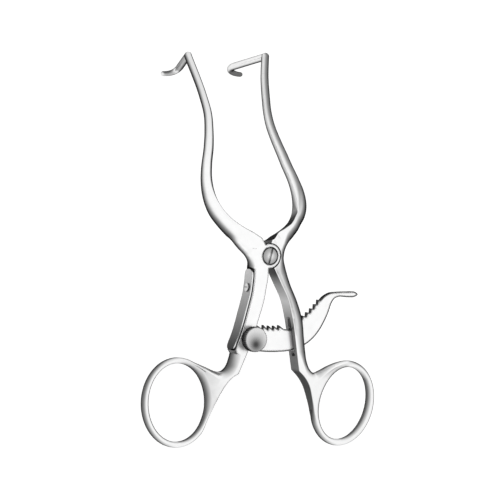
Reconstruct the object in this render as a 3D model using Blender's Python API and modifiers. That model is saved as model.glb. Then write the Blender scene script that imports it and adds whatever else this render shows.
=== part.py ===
"""Self-retaining cervical spine retractor, modelled at real size.

Everything is drawn in the instrument's own frame: X to the right and Y towards the jaws
as the surgeon sees it, Z towards the surgeon, origin on the pivot screw's axis in the
middle of the handles' thickness. An empty then lays the finished instrument down on its
finger rings and hook ends, with +Z up and the origin under the middle of it.

Lengths are in millimetres and are scaled to metres as each mesh is made.
"""

import math

import bmesh
import bpy
import numpy as np
from mathutils import Matrix, Vector
from mathutils.geometry import delaunay_2d_cdt

MM = 0.001
CUTTERS = "cutters"

# Fits
RUNNING_GAP = 0.3          # between pieces that touch or turn on each other
WELD = 0.001               # points closer than this are one point

# Arms
HALF_THICKNESS = 3.3       # of both arms at the handles
CRISP = 0.25               # edge rounding where two faces meet sharply
ROUNDED = 2.3              # rounding of the arms' outer sides
BEND_START = 4.7           # the jaws bend back from here, measured along the arm
BEND_END = 7.9
BEND_ANGLE = math.radians(30)
JAW_LENGTH = 86.3          # pivot to the corner of the left jaw, measured along the arm
RING_SPREAD = 73.0         # between the centres of the finger rings

# Pivot
BOSS_RADIUS = 4.6
PIVOT_SHANK_RADIUS = 1.5
PIVOT_HEAD_RADIUS = 3.05
PIVOT_HEAD_SEAT = 1.5      # depth of the counterbore under the front face
PIVOT_HEAD_PROUD = 0.35
SLOT_WIDTH = 0.7
SLOT_DEPTH = 0.7
PIVOT_SLOT_ANGLE = math.radians(77)
SHANK_CHAMFER = 0.3        # at the lower ends of the pivot screw and the thumb screw

# Ratchet bar
BAR_THICKNESS = 1.6
BAR_PIVOT = (-6.5, -31.5)
BAR_HUB_RADIUS = 4.6
TOOTH_CENTRE = (3.3, -1.2)
TOOTH_TIP_RADIUS = 25.4
TOOTH_DEPTH = 1.75
TOOTH_PITCH = 5.15         # degrees about the centre of the toothed edge
FIRST_ROW = (-7.6, 4)      # angle of the first tip from straight down, number of teeth
SECOND_ROW = (22.6, 7)
BAR_RELEASE = math.radians(-5)
PAWL_ANGLE = 27.0          # direction of the pawl edge from straight down, in the right arm
PAWL_RISE = 0.9            # the window's end falls towards the pawl edge by this much
PAWL_SLOPE = 7.0           # degrees over which it falls
PAWL_RELIEF = 6.0          # degrees from the pawl edge to the level end behind it
PAWL_LEAN = 1.1            # degrees that the pawl's face leans back
WINDOW_SWEEP = 25.0        # degrees that the window reaches to each side of the pawl edge
HUB_TOP = (165, 75)        # the hub's round stretches above and below, in degrees
HUB_BOTTOM = (262, 215)
POCKET_CLEARANCE = 1.2     # round the hub in the left arm's slot
POCKET_ARC = (95, 175)     # the slot's round stretch above the hub, in degrees
POCKET_MOUTH = 12.5        # from the bar's pivot to the slot's open inner side

# Thumb screw
KNOB_RADIUS = 4.8
KNOB_HEIGHT = 3.5
KNOB_SHANK_RADIUS = 1.5
KNOB_BOSS_RADIUS = 4.2
KNURLS = 36
KNURL_DEPTH = 0.25
KNOB_CHAMFER = 0.5

# Leaf spring
SPRING_THICKNESS = 0.6
SPRING_HALF_WIDTH = 2.5
SPRING_END_TAPER = 2.6
SPRING_END_HALF_WIDTH = 1.1
SPRING_SCREW_Y = -12.2
SPRING_SHANK_RADIUS = 0.9
SPRING_HEAD_RADIUS = 1.65
SPRING_HEAD_HEIGHT = 0.6
SPRING_SCREW_LENGTH = 3.2
SPRING_SLOT_WIDTH = 0.45
SPRING_SLOT_DEPTH = 0.3

# Jaws and hooks
TUBE_RADIUS = 1.45
HOOK_END_RADIUS = 0.95
HOOK_LEG = (5.05, -3.8, -15.6)     # inward, along Y, back
HOOK_CURL = (5.2, -2.9, -4.0)      # outward, along Y, back

# Half thickness along the jaw: distance along the arm, half thickness
JAW_HALF_THICKNESS = [(4, HALF_THICKNESS), (12, 3.0), (22, 2.5), (31, 2.15), (45, 1.9), (54, 1.75), (62, 1.6),
                      (86, 1.55)]
RING_HALF_THICKNESS = 1.5
RING_EDGE = 1.1            # rounding of the finger rings, and where the hole meets the web
RING_EDGE_AT_WEB = 2.4
WEB_START = 0.0            # the web thins towards the ring between these distances from the arm
WEB_END = 27.0
WIDTH_SHARE = 0.45         # largest rounding of an edge, as a share of the width behind it

# Each edge point: X, distance along the arm, rounding radius in the plane of the arm.
# They are drawn for these reaches of the jaws and rings, and moved from there to the wanted ones.
DRAWN_JAW_LENGTH = 86.3
DRAWN_RING_SPREAD = 73.0
DRAWN_WEB_ROOT = 13.0      # the webs leave the handles this far from the instrument's middle
LEFT_JAW_INNER = [(-14.6, 86.3, 1.42), (-12.0, 68.0, 1.45), (-11.6, 60.3, 1.55), (-12.6, 53.1, 1.7),
                  (-14.4, 44.9, 1.9), (-17.0, 36.8, 2.0), (-18.35, 30.7, 2.1), (-18.7, 25.5, 1.8),
                  (-18.3, 20.6, 1.1), (-16.8, 15.8, 0.5), (-15.1, 13.2, CRISP), (-12.3, 10.7, CRISP),
                  (-9.2, 8.6, CRISP), (-6.4, 7.3, CRISP), (-3.6, 6.1, CRISP)]
LEFT_BOSS_ARC = (117, -95)
LEFT_HANDLE_INNER = [(-0.3, -8.5, CRISP), (-0.8, -11.8, CRISP), (-1.5, -16.7, CRISP), (-3.6, -24.3, CRISP),
                     (-7.6, -36.4, CRISP), (-11.2, -45.0, CRISP)]
LEFT_WEB_LOWER = [(-11.2, -45.0, CRISP), (-13.7, -46.4, CRISP), (-15.8, -48.6, CRISP), (-18.4, -52.9, CRISP),
                  (-20.5, -57.8, 0.6), (-22.5, -62.4, 1.0)]
LEFT_RING = {"centre": (-35.6, -55.9), "hole": (12.0, 14.7), "rim": (14.8, 16.9), "tilt": math.radians(6),
             "arc": (-48, -298)}
LEFT_WEB_UPPER = [(-24.1, -42.6, 1.6), (-21.0, -43.8, 2.0), (-18.6, -44.3, ROUNDED), (-16.5, -43.7, ROUNDED),
                  (-14.8, -41.9, ROUNDED), (-13.8, -39.2, ROUNDED), (-13.3, -37.1, ROUNDED)]
SPRING_SEAT = [(-13.1, -36.1, CRISP), (-12.5, -34.0, CRISP), (-11.5, -31.5, CRISP), (-10.65, -29.0, CRISP),
               (-9.65, -25.4, CRISP), (-8.8, -22.0, CRISP), (-7.9, -18.4, CRISP), (-7.0, -14.5, CRISP),
               (-6.6, -11.0, CRISP), (-6.4, -8.2, CRISP), (-6.4, -5.2, CRISP)]
LEFT_OUTER = [(-7.2, -4.4, 1.6), (-7.7, -2.3, ROUNDED), (-9.2, 0.1, ROUNDED), (-11.3, 2.2, ROUNDED),
              (-13.5, 4.2, ROUNDED), (-16.2, 6.8, ROUNDED), (-17.9, 9.0, ROUNDED), (-19.6, 11.4, ROUNDED),
              (-21.0, 13.6, ROUNDED), (-22.2, 15.9, ROUNDED), (-23.4, 20.6, ROUNDED), (-23.5, 25.5, 2.3),
              (-22.85, 30.7, 2.1), (-21.25, 36.8, 2.0), (-18.4, 44.9, 1.9), (-16.1, 53.1, 1.7),
              (-14.8, 60.3, 1.55), (-14.95, 68.0, 1.45), (-17.55, 86.3, 1.42)]

RIGHT_JAW_INNER = [(17.7, 88.5, 1.55), (14.8, 77.7, 1.55), (13.2, 68.8, 1.57), (12.4, 63.1, 1.6),
                   (12.1, 57.6, 1.65), (13.0, 49.4, 1.8), (14.0, 44.0, 1.9), (14.9, 38.6, 2.0), (16.0, 33.2, 2.1),
                   (16.4, 27.8, 1.9), (15.9, 22.0, 1.1), (14.9, 18.2, 0.5), (13.0, 15.3, CRISP),
                   (10.3, 13.0, CRISP), (6.6, 10.6, CRISP), (2.6, 8.3, CRISP), (0.2, 6.0, CRISP)]
RIGHT_BOSS_ARC = (88, 294)
RIGHT_HANDLE_INNER = [(3.7, -7.3, CRISP), (5.9, -11.1, CRISP), (8.7, -15.9, CRISP), (11.0, -22.6, CRISP),
                      (12.1, -27.0, CRISP), (13.1, -32.0, CRISP), (14.0, -36.6, CRISP), (15.4, -43.6, CRISP)]
RIGHT_WEB_LOWER = [(15.4, -43.6, CRISP), (18.0, -46.0, CRISP), (20.4, -49.3, CRISP), (22.0, -53.5, CRISP),
                   (23.0, -57.2, 0.5), (23.5, -60.2, 0.8)]
RIGHT_RING = {"centre": (37.4, -56.2), "hole": (10.5, 14.2), "rim": (14.1, 16.7), "tilt": math.radians(-16),
              "arc": (-138, 113)}
RIGHT_WEB_UPPER = [(30.0, -41.9, 1.3), (26.4, -43.6, 1.8), (23.3, -44.5, ROUNDED), (21.2, -42.9, ROUNDED),
                   (19.9, -40.4, ROUNDED), (18.9, -35.7, ROUNDED), (18.2, -31.4, ROUNDED)]
RIGHT_OUTER = [(16.8, -24.3, ROUNDED), (14.2, -17.4, ROUNDED), (10.6, -10.6, ROUNDED), (8.0, -3.7, ROUNDED),
               (7.4, -1.2, ROUNDED), (7.4, 1.2, ROUNDED), (8.6, 4.4, ROUNDED), (11.7, 7.3, ROUNDED),
               (14.3, 9.9, ROUNDED), (16.4, 12.6, ROUNDED), (18.5, 15.2, ROUNDED), (20.2, 18.3, ROUNDED),
               (21.3, 22.0, ROUNDED), (21.4, 27.8, 2.3), (20.4, 33.2, 2.1), (19.1, 38.6, 2.0),
               (18.0, 44.0, 1.9), (16.8, 49.4, 1.8), (15.6, 57.6, 1.65), (15.7, 63.1, 1.6), (16.5, 68.8, 1.57),
               (18.05, 77.7, 1.55), (20.9, 88.5, 1.55)]

# Free part of the ratchet bar beyond the teeth, and its lower edge back to the hub
BAR_TAIL = [(24.6, -16.7), (26.0, -15.2), (29.1, -13.5), (32.3, -13.1), (36.9, -12.9), (40.5, -13.0),
            (41.7, -13.9), (40.6, -14.7), (36.5, -15.1), (32.9, -15.0), (31.1, -15.7), (29.8, -17.6),
            (28.7, -20.8), (27.0, -24.6), (25.4, -27.4)]
BAR_LOWER_EDGE = [(25.4, -27.4), (23.5, -29.9), (21.4, -31.9), (18.8, -33.7), (15.2, -35.2), (11.3, -36.2),
                  (7.8, -36.5), (1.2, -36.6), (-3.0, -36.3)]
BAR_PLAIN_STRETCH = [(8.8, -27.7), (12.0, -28.1)]
BAR_TOP_SHOULDER = (-2.6, -26.6)
HEEL_OFFSETS = (2.6, 3.8)  # the heel's flat end along the seat, below the bar's pivot
TOOTH_UNDERCUT = 0.05

# The left arm's slot for the bar from its outer side to its mouth, from the bar's pivot
POCKET_EDGE = [(-9.0, 0.3), (-9.0, -3.4), (-4.7, -4.1), (-1.5, -6.1), (0.0, -6.5), (POCKET_MOUTH, -6.9)]

# Mesh fineness
EDGE_STEP = 2.6            # spacing of the points along an edge
FACE_STEP = 3.2            # spacing of the points inside the flat faces
EDGE_ROWS = 3              # facets across a rounded edge


def clear_scene():
    for old in list(bpy.data.objects):
        bpy.data.objects.remove(old, do_unlink=True)


def make_collection(name):
    collection = bpy.data.collections.get(name) or bpy.data.collections.new(name)
    if name not in bpy.context.scene.collection.children:
        bpy.context.scene.collection.children.link(collection)
    return collection


def steel(name, colour, roughness):
    material = bpy.data.materials.new(name)
    material.use_nodes = True
    shader = material.node_tree.nodes["Principled BSDF"]
    shader.inputs["Base Color"].default_value = (*colour, 1)
    shader.inputs["Metallic"].default_value = 1.0
    shader.inputs["Roughness"].default_value = roughness
    return material


def smooth_curve(points, step):
    """Points along a smooth curve through the given ones, which may carry any number of values."""
    points = np.array(points, float)
    chords = np.linalg.norm(np.diff(points[:, :2], axis=0), axis=1)
    at = np.concatenate([[0], np.cumsum(chords)])
    slopes = np.gradient(points, at, axis=0)
    result = [points[0]]
    for i, chord in enumerate(chords):
        for k in range(1, math.ceil(chord / step) + 1):
            t = k / math.ceil(chord / step)
            result.append((2 * t**3 - 3 * t**2 + 1) * points[i] + (t**3 - 2 * t**2 + t) * chord * slopes[i]
                          + (3 * t**2 - 2 * t**3) * points[i + 1] + (t**3 - t**2) * chord * slopes[i + 1])
    return np.array(result)


def arc(centre, radius, start, end, step):
    """Points on a circle from one angle in degrees to another."""
    length = abs(math.radians(end - start)) * radius
    angles = np.radians(np.linspace(start, end, math.ceil(length / step) + 1))
    return np.stack([centre[0] + radius * np.cos(angles), centre[1] + radius * np.sin(angles)], axis=1)


def ellipse(centre, radii, tilt, start, end, count):
    """Points on a leaning ellipse from one parameter angle in degrees to another."""
    angles = np.radians(np.linspace(start, end, count))
    across = radii[0] * np.cos(angles)
    along = radii[1] * np.sin(angles)
    return np.stack([centre[0] + across * math.cos(tilt) - along * math.sin(tilt),
                     centre[1] + across * math.sin(tilt) + along * math.cos(tilt)], axis=1)


def with_rounding(points, rounding):
    return np.column_stack([points, np.full(len(points), float(rounding))])


def join_runs(runs):
    """One closed loop from runs that follow each other, without doubled points."""
    loop = []
    for point in np.concatenate(runs):
        if not loop or np.linalg.norm(point[:2] - loop[-1][:2]) > 0.05:
            loop.append(point)
    if np.linalg.norm(loop[0][:2] - loop[-1][:2]) < 0.05:
        loop.pop()
    return np.array(loop)


def inward_normals(loop):
    """Unit normals pointing into the material of a counter-clockwise loop."""
    ahead = np.roll(loop, -1, axis=0)[:, :2] - loop[:, :2]
    ahead /= np.linalg.norm(ahead, axis=1)[:, None]
    along = ahead + np.roll(ahead, 1, axis=0)
    along /= np.linalg.norm(along, axis=1)[:, None]
    return np.stack([-along[:, 1], along[:, 0]], axis=1)


def signed_area(loop):
    x, y = loop[:, 0], loop[:, 1]
    return 0.5 * np.sum(x * np.roll(y, -1) - np.roll(x, -1) * y)


def inside(point, loop):
    """Whether a point is inside a loop, by counting crossings."""
    x, y = loop[:, 0], loop[:, 1]
    x2, y2 = np.roll(x, -1), np.roll(y, -1)
    crosses = (y > point[1]) != (y2 > point[1])
    where = x + (point[1] - y) * (x2 - x) / np.where(y2 == y, 1e-9, y2 - y)
    return np.count_nonzero(crosses & (point[0] < where)) % 2 == 1


def smoothstep(low, high, value):
    t = np.clip((value - low) / (high - low), 0, 1)
    return t * t * (3 - 2 * t)


def jaw_place(along):
    """Place along the arm for the wanted jaw length, from the drawn one."""
    stretch = (JAW_LENGTH - BEND_END) / (DRAWN_JAW_LENGTH - BEND_END)
    return along + max(along - BEND_END, 0) * (stretch - 1)


def ring_place(x):
    """X of a point of the web or ring for the wanted spread of the rings, from the drawn one."""
    stretch = (RING_SPREAD / 2 - DRAWN_WEB_ROOT) / (DRAWN_RING_SPREAD / 2 - DRAWN_WEB_ROOT)
    return x + math.copysign(max(abs(x) - DRAWN_WEB_ROOT, 0), x) * (stretch - 1)


def jaw_edge(points):
    return [(x, jaw_place(along), rounding) for x, along, rounding in points]


def web_edge(points):
    return [(ring_place(x), along, rounding) for x, along, rounding in points]


def half_thickness(x, along, web_root):
    """Half the arm's thickness at a point: full at the handle, thin at the jaw's end and the ring."""
    stations = np.array(JAW_HALF_THICKNESS)
    jaw = np.interp(along, [jaw_place(station) for station in stations[:, 0]], stations[:, 1])
    root = np.array(web_root)
    t = np.clip((x * root[0] + along * root[1]) / root.dot(root), 0, 1)
    distance = np.hypot(x - t * root[0], along - t * root[1])
    ring = HALF_THICKNESS - (HALF_THICKNESS - RING_HALF_THICKNESS) * smoothstep(WEB_START, WEB_END, distance)
    return jaw if along > 0 else ring


def bend(x, along, height):
    """Place a point of the straight arm on the arm whose jaw is bent back."""
    rate = BEND_ANGLE / (BEND_END - BEND_START)
    angle = rate * min(max(along - BEND_START, 0), BEND_END - BEND_START)
    beyond = max(along - BEND_END, 0)
    y = min(along, BEND_START) + math.sin(angle) / rate + math.cos(BEND_ANGLE) * beyond
    z = -(1 - math.cos(angle)) / rate - math.sin(BEND_ANGLE) * beyond
    return (x, y + height * math.sin(angle), z + height * math.cos(angle))


def edge_profile(rounding, half):
    """Inset and height from the back face's edge round to the front face's."""
    share = smoothstep(CRISP, 1.2, rounding)
    rise = CRISP + (0.96 * half - CRISP) * share
    steps = [math.radians(90 * k / EDGE_ROWS) for k in range(EDGE_ROWS + 1)]
    quarter = [(rounding * (1 - math.cos(a)), half - rise + rise * math.sin(a)) for a in steps]
    return [(inset, -height) for inset, height in reversed(quarter)] + quarter


def limit_rounding(loops):
    """Hold each edge's rounding to a share of the width of the material behind it."""
    starts = np.vstack([loop[:, :2] for loop in loops])
    ends = np.vstack([np.roll(loop[:, :2], -1, axis=0) for loop in loops])
    run = ends - starts
    for loop in loops:
        for point, normal in zip(loop, inward_normals(loop)):
            offset = starts - point[:2]
            cross = normal[0] * run[:, 1] - normal[1] * run[:, 0]
            cross = np.where(np.abs(cross) < 1e-9, 1e-9, cross)
            depth = (offset[:, 0] * run[:, 1] - offset[:, 1] * run[:, 0]) / cross
            share = (offset[:, 0] * normal[1] - offset[:, 1] * normal[0]) / cross
            hits = depth[(share >= 0) & (share <= 1) & (depth > CRISP)]
            if len(hits):
                point[2] = min(point[2], WIDTH_SHARE * hits.min())


def plate(name, outline, hole, web_root):
    """A closed arm from its outline and its ring's hole, rounded along both and bent at the jaw."""
    loops = []
    for loop, inner in ((outline, False), (hole, True)):
        if (signed_area(loop) > 0) == inner:
            loop = loop[::-1]
        loops.append(loop)
    limit_rounding(loops)
    mesh = bmesh.new()
    flat_points = []
    flat_edges = []
    rims = []
    for loop in loops:
        normals = inward_normals(loop)
        rings = []
        for (x, along, rounding), (nx, ny) in zip(loop, normals):
            half = half_thickness(x, along, web_root)
            column = []
            for inset, height in edge_profile(rounding, half):
                spot = bend(x + nx * inset, along + ny * inset, height)
                column.append(mesh.verts.new([value * MM for value in spot]))
            rings.append(column)
            flat_edges.append((len(flat_points), len(flat_points) + 1))
            flat_points.append((x + nx * rounding, along + ny * rounding))
            rims.append((column[0], column[-1]))
        flat_edges[-1] = (len(flat_points) - 1, len(flat_points) - len(loop))
        for column, following in zip(rings, rings[1:] + rings[:1]):
            for k in range(len(column) - 1):
                mesh.faces.new((column[k], following[k], following[k + 1], column[k + 1]))
    outer_rim = np.array(flat_points[:len(loops[0])])
    hole_rim = np.array(flat_points[len(loops[0]):])
    rim = np.array(flat_points)
    low, high = outer_rim.min(axis=0), outer_rim.max(axis=0)
    for x in np.arange(low[0], high[0], FACE_STEP):
        for along in np.arange(low[1], high[1], FACE_STEP):
            clear = np.min(np.hypot(rim[:, 0] - x, rim[:, 1] - along)) > 0.45 * FACE_STEP
            if clear and inside((x, along), outer_rim) and not inside((x, along), hole_rim):
                flat_points.append((x, along))
                half = half_thickness(x, along, web_root)
                pair = [bend(x, along, -half), bend(x, along, half)]
                rims.append([mesh.verts.new([value * MM for value in spot]) for spot in pair])
    found = delaunay_2d_cdt([Vector(p) for p in flat_points], flat_edges, [], 1, 1e-6, True)
    spots, triangles, origins = found[0], found[2], found[3]
    for triangle in triangles:
        middle = np.mean([spots[i] for i in triangle], axis=0)
        if inside(middle, hole_rim) or not inside(middle, outer_rim):
            continue
        corners = [rims[origins[i][0]] for i in triangle]
        mesh.faces.new([front for back, front in corners])
        mesh.faces.new([back for back, front in reversed(corners)])
    bmesh.ops.recalc_face_normals(mesh, faces=mesh.faces[:])
    return as_object(name, mesh)


def as_object(name, mesh, origin=(0, 0, 0)):
    data = bpy.data.meshes.new(name)
    mesh.to_mesh(data)
    mesh.free()
    made = bpy.data.objects.new(name, data)
    made.location = [value * MM for value in origin]
    return made


def extrude_outline(name, points, low, high, origin=(0, 0, 0)):
    """A flat outline in X and Y as a filled curve with thickness along Z, made into a mesh."""
    curve = bpy.data.curves.new(name, "CURVE")
    curve.dimensions = "2D"
    curve.fill_mode = "BOTH"
    curve.extrude = (high - low) / 2
    spline = curve.splines.new("POLY")
    spline.points.add(len(points) - 1)
    spline.use_cyclic_u = True
    for spot, (x, y) in zip(spline.points, points):
        spot.co = (x - origin[0], y - origin[1], 0, 1)
    mesh = mesh_of_curve(curve)
    bmesh.ops.translate(mesh, verts=mesh.verts, vec=(0, 0, (low + high) / 2 * MM))
    return as_object(name, mesh, origin)


def mesh_of_curve(curve):
    """The closed mesh of a curve drawn in millimetres, with its caps welded on."""
    wire = bpy.data.objects.new(curve.name, curve)
    bpy.context.scene.collection.objects.link(wire)
    bpy.context.view_layer.update()
    mesh = bmesh.new()
    mesh.from_mesh(bpy.data.meshes.new_from_object(wire.evaluated_get(bpy.context.evaluated_depsgraph_get())))
    bpy.data.objects.remove(wire)
    bmesh.ops.remove_doubles(mesh, verts=mesh.verts, dist=WELD)
    bmesh.ops.recalc_face_normals(mesh, faces=mesh.faces[:])
    bmesh.ops.scale(mesh, vec=(MM, MM, MM), verts=mesh.verts)
    return mesh


def cylinder(name, radius, low, high, centre=(0, 0), sides=32, turn=None):
    """A cylinder along Z, or along the +Z of a given placing matrix."""
    mesh = bmesh.new()
    bmesh.ops.create_cone(mesh, cap_ends=True, segments=sides, radius1=radius * MM, radius2=radius * MM,
                          depth=(high - low) * MM)
    bmesh.ops.translate(mesh, verts=mesh.verts, vec=(centre[0] * MM, centre[1] * MM, (low + high) / 2 * MM))
    if turn:
        bmesh.ops.transform(mesh, matrix=turn, verts=mesh.verts)
    return as_object(name, mesh)


def box(name, size, middle, turn=None):
    mesh = bmesh.new()
    bmesh.ops.create_cube(mesh, size=1)
    bmesh.ops.scale(mesh, vec=[value * MM for value in size], verts=mesh.verts)
    bmesh.ops.translate(mesh, verts=mesh.verts, vec=[value * MM for value in middle])
    if turn:
        bmesh.ops.transform(mesh, matrix=turn, verts=mesh.verts)
    return as_object(name, mesh)


def turned(name, profile, sides=32):
    """A turned piece about Z from its profile, given as radius and height from top to bottom."""
    data = bpy.data.meshes.new(name)
    spots = [(radius * MM, 0, height * MM) for radius, height in profile]
    data.from_pydata(spots, [(i, i + 1) for i in range(len(spots) - 1)], [])
    made = bpy.data.objects.new(name, data)
    screw = made.modifiers.new("turn", "SCREW")
    screw.axis = "Z"
    screw.steps = screw.render_steps = sides
    screw.use_merge_vertices = True
    screw.merge_threshold = WELD * MM
    screw.use_normal_calculate = True
    bpy.context.scene.collection.objects.link(made)
    bpy.context.view_layer.update()
    mesh = bmesh.new()
    mesh.from_mesh(bpy.data.meshes.new_from_object(made.evaluated_get(bpy.context.evaluated_depsgraph_get())))
    bpy.data.objects.remove(made)
    bmesh.ops.remove_doubles(mesh, verts=mesh.verts, dist=WELD * MM)
    bmesh.ops.recalc_face_normals(mesh, faces=mesh.faces[:])
    return as_object(name, mesh)


def tube_along(name, points, radii):
    """A tube with filled ends along points in space."""
    curve = bpy.data.curves.new(name, "CURVE")
    curve.dimensions = "3D"
    curve.bevel_depth = 1
    curve.bevel_resolution = 4
    curve.use_fill_caps = True
    spline = curve.splines.new("POLY")
    spline.points.add(len(points) - 1)
    for spot, place, radius in zip(spline.points, points, radii):
        spot.co = (*place, 1)
        spot.radius = radius
    return as_object(name, mesh_of_curve(curve))


def combine(target, other, operation):
    """Cut the second solid from the first, or join it on, and keep it as a hidden guide."""
    modifier = target.modifiers.new(other.name, "BOOLEAN")
    modifier.operation = operation
    modifier.object = other
    other.location += target.location
    other.hide_render = True
    other.display_type = "WIRE"
    make_collection(CUTTERS).objects.link(other)


def hook_path(side, corner):
    """From the jaw's corner straight back, then curling outward to the hook's blunt end."""
    leg = np.array([-side * HOOK_LEG[0], HOOK_LEG[1], HOOK_LEG[2]])
    curl = np.array([side * HOOK_CURL[0], HOOK_CURL[1], HOOK_CURL[2]])
    start = np.array(corner) + leg
    end = start + curl
    reach = 0.6 * np.linalg.norm(curl)
    controls = [start, start + leg / np.linalg.norm(leg) * reach, end - np.array([side * reach, 0, 0]), end]
    path = [np.array(corner)]
    radii = [TUBE_RADIUS]
    for t in np.linspace(0, 1, 9):
        weights = [(1 - t)**3, 3 * t * (1 - t)**2, 3 * t**2 * (1 - t), t**3]
        path.append(sum(weight * control for weight, control in zip(weights, controls)))
        radii.append(TUBE_RADIUS + (HOOK_END_RADIUS - TUBE_RADIUS) * t)
    return path, radii


def arm_outline(side, jaw_inner, boss_arc, handle_inner, web_lower, ring, web_upper, outer_runs):
    """The arm's outline down its inner edge, round the ring and back up its outer edge."""
    start, end = ring["arc"]
    ring_outer = with_rounding(ellipse(ring["centre"], ring["rim"], ring["tilt"], start, end, 15), RING_EDGE)
    boss = arc((0, 0), BOSS_RADIUS, *boss_arc, EDGE_STEP / 2)
    inner = np.vstack([with_rounding(boss[-1:], CRISP), handle_inner])
    ring_run = np.vstack([web_lower, ring_outer, web_upper])
    tip_in, tip_out = np.array(jaw_inner[0][:2]), np.array(outer_runs[-1][-1][:2])
    middle = (tip_in + tip_out) / 2
    radius = np.linalg.norm(tip_in - tip_out) / 2
    lean = math.degrees(math.atan2(*(tip_out - middle)[::-1]))
    half_circle = (lean, lean + side * 180)
    tip = with_rounding(arc(middle, radius, *half_circle, radius / 2)[1:-1], radius * 0.95)
    runs = [smooth_curve(jaw_inner, EDGE_STEP), with_rounding(boss, CRISP), smooth_curve(inner, EDGE_STEP),
            smooth_curve(ring_run, EDGE_STEP)]
    runs += [smooth_curve(run, EDGE_STEP) for run in outer_runs]
    return join_runs(runs + [tip]), (*middle,)


def ring_hole(ring):
    """The finger ring's hole, rounded most where it meets the web."""
    around = ellipse(ring["centre"], ring["hole"], ring["tilt"], 0, 360, 37)[:-1]
    towards_arm = np.array([0, BAR_PIVOT[1]]) - np.array(ring["centre"])
    towards_arm /= np.linalg.norm(towards_arm)
    offsets = around - np.array(ring["centre"])
    facing = offsets @ towards_arm / np.linalg.norm(offsets, axis=1)
    rounding = RING_EDGE + (RING_EDGE_AT_WEB - RING_EDGE) * smoothstep(0.3, 0.9, facing)
    return np.column_stack([around, rounding])


def make_arm(name, side, jaw_inner, boss_arc, handle_inner, web_lower, ring, web_upper, outer_runs):
    """One arm with its finger ring, boss, jaw and hook, before anything is cut into it."""
    ring = {**ring, "centre": (ring_place(ring["centre"][0]), ring["centre"][1])}
    outline, tip = arm_outline(side, jaw_edge(jaw_inner), boss_arc, handle_inner, web_edge(web_lower), ring,
                               web_edge(web_upper), [jaw_edge(run) for run in outer_runs])
    web_root = (web_upper[4][0] - side * 1.2, web_upper[4][1])
    arm = plate(name, outline, ring_hole(ring), web_root)
    path, radii = hook_path(side, bend(tip[0], tip[1], 0))
    combine(arm, tube_along(name + "_hook", path, radii), "UNION")
    return arm


def seat_direction(y):
    """Point and unit direction along the spring's seat at a height, pointing down the handle."""
    seat = smooth_curve(SPRING_SEAT, 0.5)[::-1]
    index = int(np.argmin(np.abs(seat[:, 1] - y)))
    index = min(max(index, 1), len(seat) - 2)
    along = seat[index + 1, :2] - seat[index - 1, :2]
    return seat[index, :2], along / np.linalg.norm(along)


def spring_screw_frame():
    """Placing matrix at the spring screw: +Z out of the seat, origin on the arm's surface."""
    spot, along = seat_direction(SPRING_SCREW_Y)
    outward = Vector((along[1], -along[0], 0))
    if outward.x > 0:
        outward.negate()
    across = Vector((0, 0, 1))
    third = across.cross(outward)
    rotation = Matrix((third, across, outward)).transposed()
    if rotation.determinant() < 0:
        rotation = Matrix((-third, across, outward)).transposed()
    return Matrix.Translation(Vector((spot[0], spot[1], 0)) * MM) @ rotation.to_4x4()


def make_left_arm():
    arm = make_arm("left_arm", -1, LEFT_JAW_INNER, LEFT_BOSS_ARC, LEFT_HANDLE_INNER, LEFT_WEB_LOWER,
                   LEFT_RING, LEFT_WEB_UPPER, [SPRING_SEAT, LEFT_OUTER])
    boss = cylinder("knob_boss", KNOB_BOSS_RADIUS, -HALF_THICKNESS, HALF_THICKNESS, BAR_PIVOT)
    combine(arm, boss, "UNION")
    lap = RUNNING_GAP / 2
    deep = HALF_THICKNESS + 2
    recess = cylinder("lap_recess", BOSS_RADIUS + RUNNING_GAP, -deep, lap, sides=48)
    combine(arm, recess, "DIFFERENCE")
    bore = cylinder("pivot_bore", PIVOT_SHANK_RADIUS + RUNNING_GAP, -deep, deep)
    combine(arm, bore, "DIFFERENCE")
    seat = HALF_THICKNESS - PIVOT_HEAD_SEAT
    counterbore = cylinder("counterbore", PIVOT_HEAD_RADIUS + RUNNING_GAP, seat, deep)
    combine(arm, counterbore, "DIFFERENCE")
    bore = cylinder("knob_bore", KNOB_SHANK_RADIUS + RUNNING_GAP, -deep, deep, BAR_PIVOT)
    combine(arm, bore, "DIFFERENCE")
    combine(arm, bar_pocket(), "DIFFERENCE")
    depth = SPRING_SCREW_LENGTH - SPRING_THICKNESS
    screw_hole = cylinder("spring_screw_hole", SPRING_SHANK_RADIUS + RUNNING_GAP, -depth, 2, sides=20,
                          turn=spring_screw_frame())
    combine(arm, screw_hole, "DIFFERENCE")
    return arm


def bar_pocket():
    """The slot in the left arm that takes the bar's hub and lets its heel reach the spring."""
    half = BAR_THICKNESS / 2 + RUNNING_GAP
    reach = BAR_HUB_RADIUS + POCKET_CLEARANCE
    round_end = arc(BAR_PIVOT, reach, *POCKET_ARC, EDGE_STEP / 2)
    inner = [(BAR_PIVOT[0] + x, BAR_PIVOT[1] + reach) for x in (POCKET_MOUTH, 0)]
    outer = [(BAR_PIVOT[0] + x, BAR_PIVOT[1] + y) for x, y in POCKET_EDGE]
    return extrude_outline("bar_pocket", [*inner, *round_end, *outer], -half, half)


def make_right_arm():
    arm = make_arm("right_arm", 1, RIGHT_JAW_INNER, RIGHT_BOSS_ARC, RIGHT_HANDLE_INNER, RIGHT_WEB_LOWER,
                   RIGHT_RING, RIGHT_WEB_UPPER[:-1], [[RIGHT_WEB_UPPER[-2], RIGHT_WEB_UPPER[-1], *RIGHT_OUTER]])
    lap = RUNNING_GAP / 2
    deep = HALF_THICKNESS + 2
    recess = cylinder("lap_recess", BOSS_RADIUS + RUNNING_GAP, -lap, deep, sides=48)
    combine(arm, recess, "DIFFERENCE")
    bore = cylinder("pivot_bore", PIVOT_SHANK_RADIUS + RUNNING_GAP, -deep, deep)
    combine(arm, bore, "DIFFERENCE")
    combine(arm, ratchet_window(), "DIFFERENCE")
    return arm


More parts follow.
